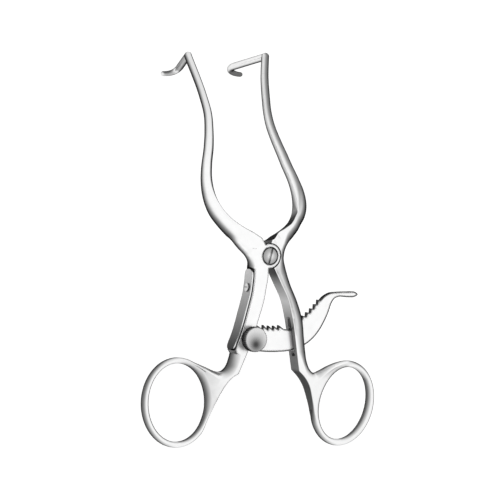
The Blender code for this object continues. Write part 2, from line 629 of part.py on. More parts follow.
def tooth_tips(first, count):
    """Tips of a row of teeth on their circle."""
    angles = [math.radians(first + k * TOOTH_PITCH) for k in range(count)]
    return [(TOOTH_CENTRE[0] + TOOTH_TIP_RADIUS * math.sin(angle),
             TOOTH_CENTRE[1] - TOOTH_TIP_RADIUS * math.cos(angle)) for angle in angles]


def released(point):
    """Where a point of the bar goes when the bar is pressed down out of mesh."""
    x, y = point[0] - BAR_PIVOT[0], point[1] - BAR_PIVOT[1]
    return (BAR_PIVOT[0] + x * math.cos(BAR_RELEASE) - y * math.sin(BAR_RELEASE),
            BAR_PIVOT[1] + x * math.sin(BAR_RELEASE) + y * math.cos(BAR_RELEASE))


def ratchet_window():
    """The slot in the right arm round the pivot axis, whose upper end holds the pawl edge.

    The pawl edge runs clear over every tooth, and the lower end clears the pressed bar."""
    half = BAR_THICKNESS / 2 + RUNNING_GAP
    pawl = min(math.hypot(*tip) for tip in tooth_tips(*FIRST_ROW) + tooth_tips(*SECOND_ROW)) - RUNNING_GAP
    floor = max(math.hypot(*released(point)) for point in BAR_LOWER_EDGE) + RUNNING_GAP
    edge = PAWL_ANGLE - 90
    entrance, exit_side = edge - WINDOW_SWEEP, edge + WINDOW_SWEEP
    top = pawl - TOOTH_DEPTH
    face = math.radians(edge), math.radians(edge + PAWL_LEAN)
    ceiling = [(pawl * math.cos(face[0]), pawl * math.sin(face[0])),
               (top * math.cos(face[1]), top * math.sin(face[1]))]
    rising = arc((0, 0), pawl - PAWL_RISE, entrance, edge - PAWL_SLOPE, EDGE_STEP)
    relief = arc((0, 0), top, edge + PAWL_RELIEF, exit_side, EDGE_STEP)
    lower = arc((0, 0), floor, exit_side, entrance, EDGE_STEP)
    return extrude_outline("ratchet_window", [*rising, *ceiling, *relief, *lower], -half, half)


def tooth_row(first, count):
    """Tooth tips with a steep face on the left and a gentle flank on the right."""
    tips = tooth_tips(first, count)
    return [spot for x, y in tips for spot in ((x - TOOTH_UNDERCUT, y - TOOTH_DEPTH), (x, y))]


def make_ratchet_bar():
    """The toothed bar with its hub, heel and thumb tail, in one flat outline."""
    hub_bottom = arc(BAR_PIVOT, BAR_HUB_RADIUS, *HUB_BOTTOM, EDGE_STEP / 2)
    spot, along = seat_direction(BAR_PIVOT[1])
    heel = [spot + along * reach for reach in reversed(HEEL_OFFSETS)]
    hub_top = arc(BAR_PIVOT, BAR_HUB_RADIUS, *HUB_TOP, EDGE_STEP / 2)
    outline = [*hub_top, BAR_TOP_SHOULDER, *tooth_row(*FIRST_ROW), *BAR_PLAIN_STRETCH, *tooth_row(*SECOND_ROW),
               *smooth_curve(BAR_TAIL, 0.7 * EDGE_STEP)[:-1], *smooth_curve(BAR_LOWER_EDGE, EDGE_STEP),
               *hub_bottom, *heel]
    half = BAR_THICKNESS / 2
    bar = extrude_outline("ratchet_bar", outline, -half, half, (*BAR_PIVOT, 0))
    bore = cylinder("bar_bore", KNOB_SHANK_RADIUS + RUNNING_GAP, -half - 1, half + 1)
    combine(bar, bore, "DIFFERENCE")
    return bar


def make_pivot_screw():
    """Slotted cheese-head screw through both bosses."""
    top = HALF_THICKNESS + PIVOT_HEAD_PROUD
    under = HALF_THICKNESS - PIVOT_HEAD_SEAT + RUNNING_GAP
    profile = [(0, top), (PIVOT_HEAD_RADIUS - 0.9, top - 0.06), (PIVOT_HEAD_RADIUS - 0.25, top - 0.25),
               (PIVOT_HEAD_RADIUS, top - 0.55), (PIVOT_HEAD_RADIUS, under), (PIVOT_SHANK_RADIUS, under),
               (PIVOT_SHANK_RADIUS, -HALF_THICKNESS + SHANK_CHAMFER),
               (PIVOT_SHANK_RADIUS - SHANK_CHAMFER, -HALF_THICKNESS), (0, -HALF_THICKNESS)]
    screw = turned("pivot_screw", profile)
    turn = Matrix.Rotation(PIVOT_SLOT_ANGLE, 4, "Z")
    slot = box("driver_slot", (4 * PIVOT_HEAD_RADIUS, SLOT_WIDTH, 2 * SLOT_DEPTH), (0, 0, top), turn)
    combine(screw, slot, "DIFFERENCE")
    return screw


def make_thumb_screw():
    """Knurled thumb screw whose shank is the pivot of the ratchet bar."""
    low = HALF_THICKNESS + RUNNING_GAP
    high = low + KNOB_HEIGHT
    rim = []
    for k in range(2 * KNURLS):
        angle = math.pi * k / KNURLS
        radius = KNOB_RADIUS - (KNURL_DEPTH if k % 2 else 0)
        rim.append((radius * math.cos(angle), radius * math.sin(angle)))
    knob = extrude_outline("thumb_screw", rim, low + KNOB_CHAMFER / 2, high - KNOB_CHAMFER / 2)
    body = KNOB_RADIUS - KNURL_DEPTH - 0.05
    face = turned("knob_face", [(0, high), (body - KNOB_CHAMFER, high), (body, high - KNOB_CHAMFER),
                                (body, low + KNOB_CHAMFER), (body - KNOB_CHAMFER, low), (KNOB_SHANK_RADIUS, low),
                                (KNOB_SHANK_RADIUS, -HALF_THICKNESS + SHANK_CHAMFER),
                                (KNOB_SHANK_RADIUS - SHANK_CHAMFER, -HALF_THICKNESS), (0, -HALF_THICKNESS)], 36)
    knob.location = (BAR_PIVOT[0] * MM, BAR_PIVOT[1] * MM, 0)
    combine(knob, face, "UNION")
    return knob


def make_leaf_spring():
    """Flat spring that lies on the left arm's seat and covers the bar's heel."""
    seat = smooth_curve(SPRING_SEAT, 0.7 * EDGE_STEP)[::-1][:, :2]
    along = np.gradient(seat, axis=0)
    along /= np.linalg.norm(along, axis=1)[:, None]
    outward = np.stack([along[:, 1], -along[:, 0]], axis=1)
    outward *= -np.sign(outward[:, :1])
    travelled = np.concatenate([[0], np.cumsum(np.linalg.norm(np.diff(seat, axis=0), axis=1))])
    spot = seat_direction(SPRING_SCREW_Y)[0]
    mesh = bmesh.new()
    sections = []
    for place, out, distance in zip(seat, outward, travelled):
        to_end = min(distance, travelled[-1] - distance)
        share = math.sqrt(max(0.0, 1 - (1 - min(to_end / SPRING_END_TAPER, 1))**2))
        half = SPRING_END_HALF_WIDTH + (SPRING_HALF_WIDTH - SPRING_END_HALF_WIDTH) * share
        corners = []
        for lift, height in ((RUNNING_GAP, -half), (RUNNING_GAP + SPRING_THICKNESS, -half),
                             (RUNNING_GAP + SPRING_THICKNESS, half), (RUNNING_GAP, half)):
            x, y = place + out * lift - spot
            corners.append(mesh.verts.new((x * MM, y * MM, height * MM)))
        sections.append(corners)
    for one, two in zip(sections, sections[1:]):
        for k in range(4):
            mesh.faces.new((one[k], one[(k + 1) % 4], two[(k + 1) % 4], two[k]))
    mesh.faces.new(sections[0])
    mesh.faces.new(sections[-1][::-1])
    bmesh.ops.recalc_face_normals(mesh, faces=mesh.faces[:])
    spring = as_object("leaf_spring", mesh, (spot[0], spot[1], 0))
    frame = spring_screw_frame()
    frame.translation = (0, 0, 0)
    hole = cylinder("spring_hole", SPRING_SHANK_RADIUS + RUNNING_GAP, -2, 3, turn=frame, sides=20)
    combine(spring, hole, "DIFFERENCE")
    return spring


def make_spring_screw():
    """Small slotted screw that clamps the spring's upper end."""
    under = 2 * RUNNING_GAP + SPRING_THICKNESS
    top = under + SPRING_HEAD_HEIGHT
    end = SPRING_THICKNESS - SPRING_SCREW_LENGTH + RUNNING_GAP
    profile = [(0, top), (SPRING_HEAD_RADIUS - 0.4, top - 0.05), (SPRING_HEAD_RADIUS, top - 0.3),
               (SPRING_HEAD_RADIUS, under), (SPRING_SHANK_RADIUS, under), (SPRING_SHANK_RADIUS, end), (0, end)]
    screw = turned("spring_screw", profile, 20)
    slot = box("driver_slot", (SPRING_SLOT_WIDTH, 4 * SPRING_HEAD_RADIUS, 2 * SPRING_SLOT_DEPTH), (0, 0, top))
    combine(screw, slot, "DIFFERENCE")
    for piece in (screw, slot):
        piece.data.transform(spring_screw_frame())
    return screw


def lay_down(root, pieces):
    """Lean the instrument until its rings and hook ends touch the same plane, and centre it."""
    points = np.array([piece.matrix_basis @ vertex.co for piece in pieces for vertex in piece.data.vertices])
    jaws = points[:, 1] > 0
    low, high = 0.0, math.radians(60)
    for _ in range(40):
        lean = (low + high) / 2
        heights = points[:, 1] * math.sin(lean) + points[:, 2] * math.cos(lean)
        low, high = (lean, high) if heights[jaws].min() < heights[~jaws].min() else (low, lean)
    laid = points @ np.array(Matrix.Rotation(lean, 3, "X")).T
    middle = (laid.min(axis=0) + laid.max(axis=0)) / 2
    root.rotation_euler = (lean, 0, 0)
    root.location = (-middle[0], -middle[1], -laid[:, 2].min())


def main():
    clear_scene()
    parts = make_collection("cervical_spine_retractor")
    make_collection(CUTTERS)
    satin = steel("satin_steel", (0.62, 0.63, 0.65), 0.28)
    spring_steel = steel("spring_steel", (0.45, 0.46, 0.48), 0.32)
    screw_steel = steel("screw_steel", (0.55, 0.56, 0.58), 0.25)
    root = bpy.data.objects.new("instrument", None)
    parts.objects.link(root)
    left_arm, right_arm = make_left_arm(), make_right_arm()
    finishes = {left_arm: satin, right_arm: satin, make_ratchet_bar(): satin, make_pivot_screw(): screw_steel,
                make_thumb_screw(): screw_steel, make_leaf_spring(): spring_steel,
                make_spring_screw(): screw_steel}
    for piece, finish in finishes.items():
        piece.data.materials.clear()
        piece.data.materials.append(finish)
        parts.objects.link(piece)
        piece.parent = root
        piece.data.shade_smooth()
        piece.data.set_sharp_from_angle(angle=math.radians(35))
    guides = bpy.data.collections[CUTTERS].objects
    for guide in guides:
        guide.parent = root
    lay_down(root, [left_arm, right_arm, *[guide for guide in guides if guide.name.endswith("_hook")]])
    bpy.context.view_layer.update()


main()
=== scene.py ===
from math import atan2, ceil, cos, degrees, hypot, pi, radians, sin, sqrt

import bmesh
import bpy
import numpy as np
from mathutils import Matrix, Vector
from mathutils.geometry import delaunay_2d_cdt
from numpy.linalg import norm


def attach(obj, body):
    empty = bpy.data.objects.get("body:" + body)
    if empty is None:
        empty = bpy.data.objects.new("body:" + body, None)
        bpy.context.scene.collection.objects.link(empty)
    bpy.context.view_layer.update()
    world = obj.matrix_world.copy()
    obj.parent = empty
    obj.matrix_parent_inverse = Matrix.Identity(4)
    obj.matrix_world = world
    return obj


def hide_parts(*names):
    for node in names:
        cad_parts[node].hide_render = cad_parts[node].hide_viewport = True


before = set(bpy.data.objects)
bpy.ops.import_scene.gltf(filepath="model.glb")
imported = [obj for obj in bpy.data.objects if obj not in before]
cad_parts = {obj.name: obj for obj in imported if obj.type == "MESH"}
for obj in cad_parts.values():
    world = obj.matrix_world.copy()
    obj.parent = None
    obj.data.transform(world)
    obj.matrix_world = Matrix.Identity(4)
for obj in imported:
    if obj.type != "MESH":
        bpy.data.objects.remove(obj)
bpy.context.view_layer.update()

# The instrument is drawn in its own frame, in millimetres, with the origin on the pivot
# screw's axis, X to the right, Y towards the jaws and Z towards the surgeon.
MM = 0.001
LEAN = 0.39965743
PIVOT_PLACE = (-0.00062785, -0.01214651, 0.02933258)
PLACE = Matrix.Translation(PIVOT_PLACE) @ Matrix.Rotation(LEAN, 4, "X")

# Fits
RUNNING_GAP = 0.3  # between pieces that touch or turn on each other
WELD = 0.001  # points closer than this are one point
SAME_SPOT = 0.05  # runs of an outline that meet this closely share the point

# Arms
HALF_THICKNESS = 3.3  # of both arms at the handles
BEYOND = HALF_THICKNESS + 2  # cutters through an arm reach this far from its middle
CRISP = 0.25  # edge rounding where two faces meet sharply
SOFT = 4.3  # rounding of the right handle's outer side
ROUNDED = 3.0  # rounding of the arms' outer sides
BEND_START = 4.7  # the jaws bend back from here, measured along the arm
BEND_END = 7.9
BEND_ANGLE = radians(30)

# Pivot
BOSS_RADIUS = 4.6
PIVOT_SHANK_RADIUS = 1.5
PIVOT_HEAD_RADIUS = 3.05
PIVOT_HEAD_SEAT = 1.5  # depth of the counterbore under the front face
PIVOT_HEAD_PROUD = 0.35
SLOT_WIDTH = 0.85
SLOT_DEPTH = 0.7
PIVOT_SLOT_ANGLE = radians(77)
PIVOT_HEAD_EDGE = 0.4  # rounding of the head's rim
PIVOT_CROWN = 0.12  # height of the head's middle over the rim
SHANK_CHAMFER = 0.3

# Ratchet bar
BAR_THICKNESS = 1.6
BAR_PIVOT = (-6.5, -31.5)
BAR_HUB_RADIUS = 4.6
TOOTH_CENTRE = (3.3, -1.2)
TOOTH_TIP_RADIUS = 25.4
TOOTH_DEPTH = 1.75
TOOTH_PITCH = 5.15  # degrees about the centre of the toothed edge
TOOTH_UNDERCUT = 0.05
FIRST_ROW = (-7.6, 4)  # angle of the first tip from straight down, number of teeth
SECOND_ROW = (22.6, 7)
BAR_RELEASE = radians(-5)
PAWL_ANGLE = 27.0  # direction of the pawl edge from straight down, in the right arm
PAWL_RISE = 0.9  # the window's end falls towards the pawl edge by this much
WINDOW_HALF_ANGLE = 25  # of the slot in the right arm, to both sides of the pawl edge
HUB_ROOM = 1.2  # round the bar's hub in the left arm's slot
HUB_TOP = (165, 75)  # degrees round the hub, above and below the heel
HUB_BOTTOM = (262, 215)

# Thumb screw
KNOB_RADIUS = 4.8
KNOB_HEIGHT = 3.5
KNOB_SHANK_RADIUS = 1.5
KNOB_BOSS_RADIUS = 4.2
KNURLS = 36
KNURL_DEPTH = 0.25
KNOB_DISH = 0.3  # hollow of the knob's face

# Leaf spring
SPRING_THICKNESS = 0.6
SPRING_LIFT = 0.3  # of its inner face off the seat
SPRING_HALF_WIDTH = 2.85
SPRING_END_TAPER = 2.6
SPRING_END_HALF_WIDTH = 1.1
SPRING_SCREW_Y = -12.2
SPRING_SHANK_RADIUS = 0.9
SPRING_HEAD_RADIUS = 1.65
SPRING_HEAD_HEIGHT = 0.6
SPRING_SCREW_LENGTH = 3.2
SMALL_SLOT = (0.45, 0.6)  # width, and twice the depth

# Jaws and hooks
TUBE_RADIUS = 1.45
HOOK_END_RADIUS = 0.95
HOOK_LEG = (5.05, -3.8, -15.6)  # inward, along Y, back
HOOK_CURL = (5.2, -2.9, -4.0)  # outward, along Y, back
HOOK_SWEEP = 0.6  # share of the curl that its curve runs straight at each end
HOOK_STATIONS = 25
HOOK_END_TURNS = (25, 45, 62, 76, 86)  # degrees round the blunt end

# Half thickness along the jaw: distance along the arm, half thickness
JAW_HALF_THICKNESS = [
    (-200, 3.3), (4, 3.3), (12, 3.0), (22, 2.5), (31, 2.15), (45, 1.9), (54, 1.75), (62, 1.6),
    (86, 1.55)]
RING_HALF_THICKNESS = 1.5
FULL_ROUNDING = 1.2  # from this rounding on, an edge is round over nearly the whole thickness
FULL_SHARE = 0.96
WIDTH_SHARE = 0.9  # of the width behind an edge, for its rounding and the opposite one's
TIP_SHARE = 0.95  # of the radius of the jaw's tip, for its rounding
WALL_DRAFT = 1.4  # of the right jaw's inner wall where it leaves the joint
DRAFT_BEGINS = (4.2, 7.5)  # distances along the arm between which it grows, and fades again
DRAFT_ENDS = (14.0, 22.0)
RING_EDGE = 1.6  # rounding of the finger rings, and where the hole meets the web
RING_EDGE_AT_WEB = 2.4
WEB_SIDE = (0.3, 0.9)  # share of facing the handle's middle over which that rounding grows
HANDLE_MIDDLE = (0, -30)
WEB_START = 0.0  # the web thins towards the ring between these distances from its root
WEB_END = 27.0
WEB_ROOT = 4  # the root lies behind this point of the web's upper edge, by the inset
WEB_ROOT_INSET = 1.2


def edge_run(*points, rounding=CRISP):
    """Edge points: X, distance along the arm and, unless it is the run's own, the rounding."""
    return np.array([(*point, rounding)[:3] for point in points])


SPRING_SEAT = edge_run(
    (-13.1, -36.1), (-12.5, -34.0), (-11.5, -31.5), (-10.65, -29.0), (-9.65, -25.4), (-8.8, -22.0),
    (-7.9, -18.4), (-7.0, -14.5), (-6.6, -11.0), (-6.4, -8.2), (-6.4, -5.2))
LEFT_ARM = {
    "name": "left_forging",
    "side": -1,
    "jaw_inner": edge_run(
        (-14.6, 86.3, 1.42), (-12.0, 68.0, 1.45), (-11.6, 60.3, 1.55), (-12.6, 53.1, 1.7),
        (-14.4, 44.9, 1.9), (-17.0, 36.8, 2.0), (-18.35, 30.7, 2.1), (-18.7, 25.5, 1.8),
        (-18.3, 20.6, 1.1), (-16.8, 15.8, 0.5), (-15.1, 13.2), (-12.3, 10.7), (-9.2, 8.6), (-6.4, 7.3),
        (-3.6, 6.1)),
    "boss_arc": (117, -95),
    "handle_inner": edge_run(
        (-0.3, -8.5), (-0.8, -11.8), (-1.5, -16.7), (-3.6, -24.3), (-7.6, -36.4), (-11.2, -45.0)),
    "web_lower": edge_run(
        (-11.2, -45.0), (-13.7, -46.4), (-15.8, -48.6), (-18.4, -52.9), (-20.5, -57.8, 0.6),
        (-22.5, -62.4, 1.0)),
    "ring": {"centre": (-35.6, -55.9), "hole": (12.0, 14.7), "rim": (14.8, 16.9),
             "tilt": radians(6), "arc": (-48, -298)},
    "web_upper": edge_run(
        (-24.1, -42.6, 1.6), (-21.0, -43.8, 2.0), (-18.6, -44.3), (-16.5, -43.7), (-14.8, -41.9),
        (-13.8, -39.2), (-13.3, -37.1), rounding=ROUNDED),
    "outer": [SPRING_SEAT, edge_run(
        (-7.2, -4.4, 1.6), (-7.7, -2.3), (-9.4, 0.0), (-11.6, 1.9), (-13.8, 4.0), (-16.1, 6.8),
        (-17.9, 9.0), (-19.6, 11.4), (-21.0, 13.6), (-22.2, 15.9), (-23.4, 20.6), (-23.5, 25.5, 2.3),
        (-22.85, 30.7, 2.1), (-21.25, 36.8, 2.0), (-18.4, 44.9, 1.9), (-16.1, 53.1, 1.7),
        (-14.8, 60.3, 1.55), (-14.95, 68.0, 1.45), (-17.55, 86.3, 1.42), rounding=ROUNDED)],
}
RIGHT_ARM = {
    "name": "right_forging",
    "side": 1,
    "jaw_inner": edge_run(
        (17.7, 88.5, 1.55), (14.8, 77.7, 1.55), (13.2, 68.8, 1.57), (12.4, 63.1, 1.6), (12.1, 57.6, 1.65),
        (13.0, 49.4, 1.8), (14.0, 44.0, 1.9), (14.9, 38.6, 2.0), (16.0, 33.2, 2.1), (16.4, 27.8, 1.9),
        (15.9, 22.0, 1.1), (14.9, 18.2, 0.5), (13.0, 15.3), (10.3, 13.0), (6.6, 10.6), (2.6, 8.3),
        (0.2, 6.0)),
    "boss_arc": (88, 294),
    "handle_inner": edge_run(
        (3.7, -7.3), (5.9, -11.1), (8.7, -15.9), (11.0, -22.6), (12.1, -27.0), (13.1, -32.0),
        (14.0, -36.6), (15.4, -43.6)),
    "web_lower": edge_run(
        (15.4, -43.6), (18.0, -46.0), (20.4, -49.3), (22.0, -53.5), (23.0, -57.2, 0.5),
        (23.5, -60.2, 0.8)),
    "ring": {"centre": (37.4, -56.2), "hole": (10.5, 14.2), "rim": (14.1, 16.7),
             "tilt": radians(-16), "arc": (-138, 113)},
    "web_upper": edge_run(
        (30.0, -41.9, 1.3), (26.4, -43.6, 1.8), (23.3, -44.5), (21.2, -42.9), (19.9, -40.4),
        (18.9, -35.7, SOFT), rounding=ROUNDED),
    "outer": [edge_run(
        (18.9, -35.7, SOFT), (18.2, -31.4, SOFT), (17.1, -24.3, SOFT), (14.5, -17.4, SOFT),
        (10.9, -10.6, SOFT), (8.2, -3.7, SOFT), (7.4, -1.2), (7.4, 1.2), (8.6, 4.4), (11.7, 7.3),
        (14.3, 9.9), (16.4, 12.6), (18.5, 15.2), (20.2, 18.3), (21.3, 22.0), (21.4, 27.8, 2.3),
        (20.4, 33.2, 2.1), (19.1, 38.6, 2.0), (18.0, 44.0, 1.9), (16.8, 49.4, 1.8), (15.6, 57.6, 1.65),
        (15.7, 63.1, 1.6), (16.5, 68.8, 1.57), (18.05, 77.7, 1.55), (20.9, 88.5, 1.55), rounding=ROUNDED)],
}

# Free part of the ratchet bar beyond the teeth, and its lower edge back to the hub
BAR_TAIL = [
    (24.6, -16.7), (26.0, -15.2), (29.1, -13.5), (32.3, -13.1), (36.9, -12.9), (40.5, -13.0),
    (41.7, -13.9), (40.6, -14.7), (36.5, -15.1), (32.9, -15.0), (31.1, -15.7), (29.8, -17.6),
    (28.7, -20.8), (27.0, -24.6), (25.4, -27.4)]
BAR_LOWER_EDGE = [
    (25.4, -27.4), (23.5, -29.9), (21.4, -31.9), (18.8, -33.7), (15.2, -35.2), (11.3, -36.2),
    (7.8, -36.5), (1.2, -36.6), (-3.0, -36.3)]
BAR_PLAIN_STRETCH = [(8.8, -27.7), (12.0, -28.1)]
BAR_TOP_SHOULDER = (-2.6, -26.6)
HEEL_OFFSETS = (2.6, 3.8)  # the heel's flat end along the seat, below the bar's pivot

# Mesh fineness
EDGE_STEP = 0.9  # spacing of the points along an edge
FACE_STEP = 2.4  # spacing of the points inside the flat faces
FACE_CLEARANCE = 0.45  # share of that spacing that stays free along the edges
EDGE_ROWS = 8  # facets across a rounded edge
ROUND_SIDES = 96  # facets round a cylinder or turned piece
JOINT_SIDES = 128
RIM_POINTS = 61
HOLE_POINTS = 145
GROUND_BELOW = 0.6  # walls with less rounding than this are ground flat
GROUND_FACES = 1  # material slots of the arms
HOOK_FACES = 2
SOFTEN_ANGLE = radians(38)  # edges sharper than this are softened
SHARP_ANGLE = radians(40)  # and the rest of them are shaded as edges


def smooth_curve(points, step):
    """Points along a smooth curve through the given ones, which may carry any number of values."""
    points = np.array(points, float)
    chords = norm(np.diff(points[:, :2], axis=0), axis=1)
    at = np.concatenate([[0], np.cumsum(chords)])
    slopes = np.gradient(points, at, axis=0)
    result = [points[0]]
    for i, chord in enumerate(chords):
        for k in range(1, ceil(chord / step) + 1):
            t = k / ceil(chord / step)
            result.append((2 * t**3 - 3 * t**2 + 1) * points[i] + (t**3 - 2 * t**2 + t) * chord * slopes[i]
                          + (3 * t**2 - 2 * t**3) * points[i + 1] + (t**3 - t**2) * chord * slopes[i + 1])
    return np.array(result)


def arc(centre, radius, start, end, step):
    """Points on a circle from one angle in degrees to another."""
    length = abs(radians(end - start)) * radius
    return ellipse(centre, (radius, radius), 0, start, end, ceil(length / step) + 1)


def ellipse(centre, radii, tilt, start, end, count):
    """Points on a leaning ellipse from one parameter angle in degrees to another."""
    angles = np.radians(np.linspace(start, end, count))
    across = radii[0] * np.cos(angles)
    along = radii[1] * np.sin(angles)
    return np.stack([centre[0] + across * cos(tilt) - along * sin(tilt),
                     centre[1] + across * sin(tilt) + along * cos(tilt)], axis=1)


def with_rounding(points, rounding):
    return np.column_stack([points, np.full(len(points), float(rounding))])


def join_runs(runs):
    """One closed loop from runs that follow each other, without doubled points."""
    loop = []
    for point in np.concatenate(runs):
        if not loop or norm(point[:2] - loop[-1][:2]) > SAME_SPOT:
            loop.append(point)
    if norm(loop[0][:2] - loop[-1][:2]) < SAME_SPOT:
        loop.pop()
    return np.array(loop)


def inward_normals(loop):
    """Unit normals pointing into the material of a counter-clockwise loop."""
    ahead = np.roll(loop, -1, axis=0)[:, :2] - loop[:, :2]
    ahead /= norm(ahead, axis=1)[:, None]
    along = ahead + np.roll(ahead, 1, axis=0)
    along /= norm(along, axis=1)[:, None]
    return np.stack([-along[:, 1], along[:, 0]], axis=1)


def signed_area(loop):
    x, y = loop[:, 0], loop[:, 1]
    return 0.5 * np.sum(x * np.roll(y, -1) - np.roll(x, -1) * y)


def inside(point, loop):
    """Whether a point is inside a loop, by counting crossings."""
    x, y = loop[:, 0], loop[:, 1]
    x2, y2 = np.roll(x, -1), np.roll(y, -1)
    crosses = (y > point[1]) != (y2 > point[1])
    where = x + (point[1] - y) * (x2 - x) / np.where(y2 == y, 1e-9, y2 - y)
    return np.count_nonzero(crosses & (point[0] < where)) % 2 == 1


def smoothstep(low, high, value):
    t = np.clip((value - low) / (high - low), 0, 1)
    return t * t * (3 - 2 * t)


def half_thickness(x, along, web_root):
    """Half the arm's thickness at a point: full at the handle, thin at the jaw's end and the ring."""
    stations = np.array(JAW_HALF_THICKNESS)
    jaw = np.interp(along, stations[:, 0], stations[:, 1])
    root = np.array(web_root)
    t = np.clip((x * root[0] + along * root[1]) / root.dot(root), 0, 1)
    distance = np.hypot(x - t * root[0], along - t * root[1])
    ring = HALF_THICKNESS - (HALF_THICKNESS - RING_HALF_THICKNESS) * smoothstep(WEB_START, WEB_END, distance)
    return jaw if along > 0 else ring


def bend(x, along, height):
    """Place a point of the straight arm on the arm whose jaw is bent back."""
    rate = BEND_ANGLE / (BEND_END - BEND_START)
    angle = rate * min(max(along - BEND_START, 0), BEND_END - BEND_START)
    beyond = max(along - BEND_END, 0)
    y = min(along, BEND_START) + sin(angle) / rate + cos(BEND_ANGLE) * beyond
    z = -(1 - cos(angle)) / rate - sin(BEND_ANGLE) * beyond
    return (x, y + height * sin(angle), z + height * cos(angle))


def edge_profile(rounding, half):
    """Inset and height from the back face's edge round to the front face's."""
    share = smoothstep(CRISP, FULL_ROUNDING, rounding)
    rise = CRISP + (FULL_SHARE * half - CRISP) * share
    steps = [radians(90 * k / EDGE_ROWS) for k in range(EDGE_ROWS + 1)]
    quarter = [(rounding * (1 - cos(a)), half - rise + rise * sin(a)) for a in steps]
    return [(inset, -height) for inset, height in reversed(quarter)] + quarter


def limit_rounding(loops):
    """Hold each edge's rounding to a share of the width of the material behind it."""
    starts = np.vstack([loop[:, :2] for loop in loops])
    ends = np.vstack([np.roll(loop[:, :2], -1, axis=0) for loop in loops])
    run = ends - starts
    wanted = np.concatenate([loop[:, 2] for loop in loops])
    for loop in loops:
        for point, normal in zip(loop, inward_normals(loop)):
            offset = starts - point[:2]
            cross = normal[0] * run[:, 1] - normal[1] * run[:, 0]
            cross = np.where(np.abs(cross) < 1e-9, 1e-9, cross)
            depth = (offset[:, 0] * run[:, 1] - offset[:, 1] * run[:, 0]) / cross
            share = (offset[:, 0] * normal[1] - offset[:, 1] * normal[0]) / cross
            behind = np.where((share >= 0) & (share <= 1) & (depth > CRISP), depth, np.inf)
            nearest = int(np.argmin(behind))
            part = point[2] / (point[2] + wanted[nearest])
            point[2] = min(point[2], WIDTH_SHARE * behind[nearest] * part)
            left_over = WIDTH_SHARE * behind[nearest] - point[2] - wanted[nearest]
            point[3] = min(point[3], max(left_over, 0))
        ease_tight_curves(loop)


def ease_tight_curves(loop, rounds=40, least_share=0.15, easing=0.93):
    """Lower the rounding and draft where they leave too little of an edge's length inside."""
    normals = inward_normals(loop)
    along = np.roll(loop[:, :2], -1, axis=0) - loop[:, :2]
    for _ in range(rounds):
        inner = loop[:, :2] + normals * (loop[:, 2] + loop[:, 3])[:, None]
        moved = np.roll(inner, -1, axis=0) - inner
        tight = np.sum(along * moved, axis=1) < least_share * np.sum(along**2, axis=1)
        loop[tight | np.roll(tight, 1), 2:] *= easing


def wall_draft(x, along, rounding):
    """How far the front edge of the right jaw's flat inner wall is set in from its back edge."""
    crisp = 1 - smoothstep(CRISP, FULL_ROUNDING, rounding)
    reach = smoothstep(*DRAFT_BEGINS, along) * (1 - smoothstep(*DRAFT_ENDS, along))
    return WALL_DRAFT * crisp * reach * (x > 0)


def plate(name, outline, hole, web_root):
    """A closed arm from its outline and its ring's hole, rounded along both and bent at the jaw."""
    loops = []
    for loop, inner in ((outline, False), (hole, True)):
        if (signed_area(loop) > 0) == inner:
            loop = loop[::-1]
        loops.append(np.column_stack([loop, [wall_draft(*point) for point in loop]]))
    limit_rounding(loops)
    mesh = bmesh.new()
    flat_points = []
    flat_edges = []
    rims = []
    for loop in loops:
        normals = inward_normals(loop)
        rings = []
        for (x, along, rounding, draft), (nx, ny) in zip(loop, normals):
            half = half_thickness(x, along, web_root)
            column = []
            for inset, height in edge_profile(rounding, half):
                inset += draft * (half + height) / (2 * half)
                spot = bend(x + nx * inset, along + ny * inset, height)
                column.append(mesh.verts.new([value * MM for value in spot]))
            rings.append(column)
            flat_edges.append((len(flat_points), len(flat_points) + 1))
            flat_points.append((x + nx * (rounding + draft), along + ny * (rounding + draft)))
            rims.append((column[0], column[-1]))
        flat_edges[-1] = (len(flat_points) - 1, len(flat_points) - len(loop))
        for column, following, point in zip(rings, rings[1:] + rings[:1], loop):
            for k in range(len(column) - 1):
                face = mesh.faces.new((column[k], following[k], following[k + 1], column[k + 1]))
                if k == EDGE_ROWS and point[2] < GROUND_BELOW:
                    face.material_index = GROUND_FACES
    outer_rim = np.array(flat_points[:len(loops[0])])
    hole_rim = np.array(flat_points[len(loops[0]):])
    rim = np.array(flat_points)
    low, high = outer_rim.min(axis=0), outer_rim.max(axis=0)
    for x in np.arange(low[0], high[0], FACE_STEP):
        for along in np.arange(low[1], high[1], FACE_STEP):
            clear = np.min(np.hypot(rim[:, 0] - x, rim[:, 1] - along)) > FACE_CLEARANCE * FACE_STEP
            if clear and inside((x, along), outer_rim) and not inside((x, along), hole_rim):
                flat_points.append((x, along))
                half = half_thickness(x, along, web_root)
                pair = [bend(x, along, -half), bend(x, along, half)]
                rims.append([mesh.verts.new([value * MM for value in spot]) for spot in pair])
    found = delaunay_2d_cdt([Vector(p) for p in flat_points], flat_edges, [], 1, 1e-6, True)
    spots, triangles, origins = found[0], found[2], found[3]
    for triangle in triangles:
        middle = np.mean([spots[i] for i in triangle], axis=0)
        if inside(middle, hole_rim) or not inside(middle, outer_rim):
            continue
        corners = [rims[origins[i][0]] for i in triangle]
        mesh.faces.new([front for back, front in corners])
        mesh.faces.new([back for back, front in reversed(corners)])
    bmesh.ops.recalc_face_normals(mesh, faces=mesh.faces[:])
    arm = as_object(name, mesh)
    add_slots(arm)
    return arm


def add_slots(piece):
    """Empty material slots, so that faces keep their finish when solids are joined."""
    for _ in range(HOOK_FACES + 1):
        piece.data.materials.append(None)


def as_object(name, mesh):
    data = bpy.data.meshes.new(name)
    mesh.to_mesh(data)
    mesh.free()
    return link(name, data)


def link(name, data):
    made = bpy.data.objects.new(name, data)
    bpy.context.scene.collection.objects.link(made)
    return made


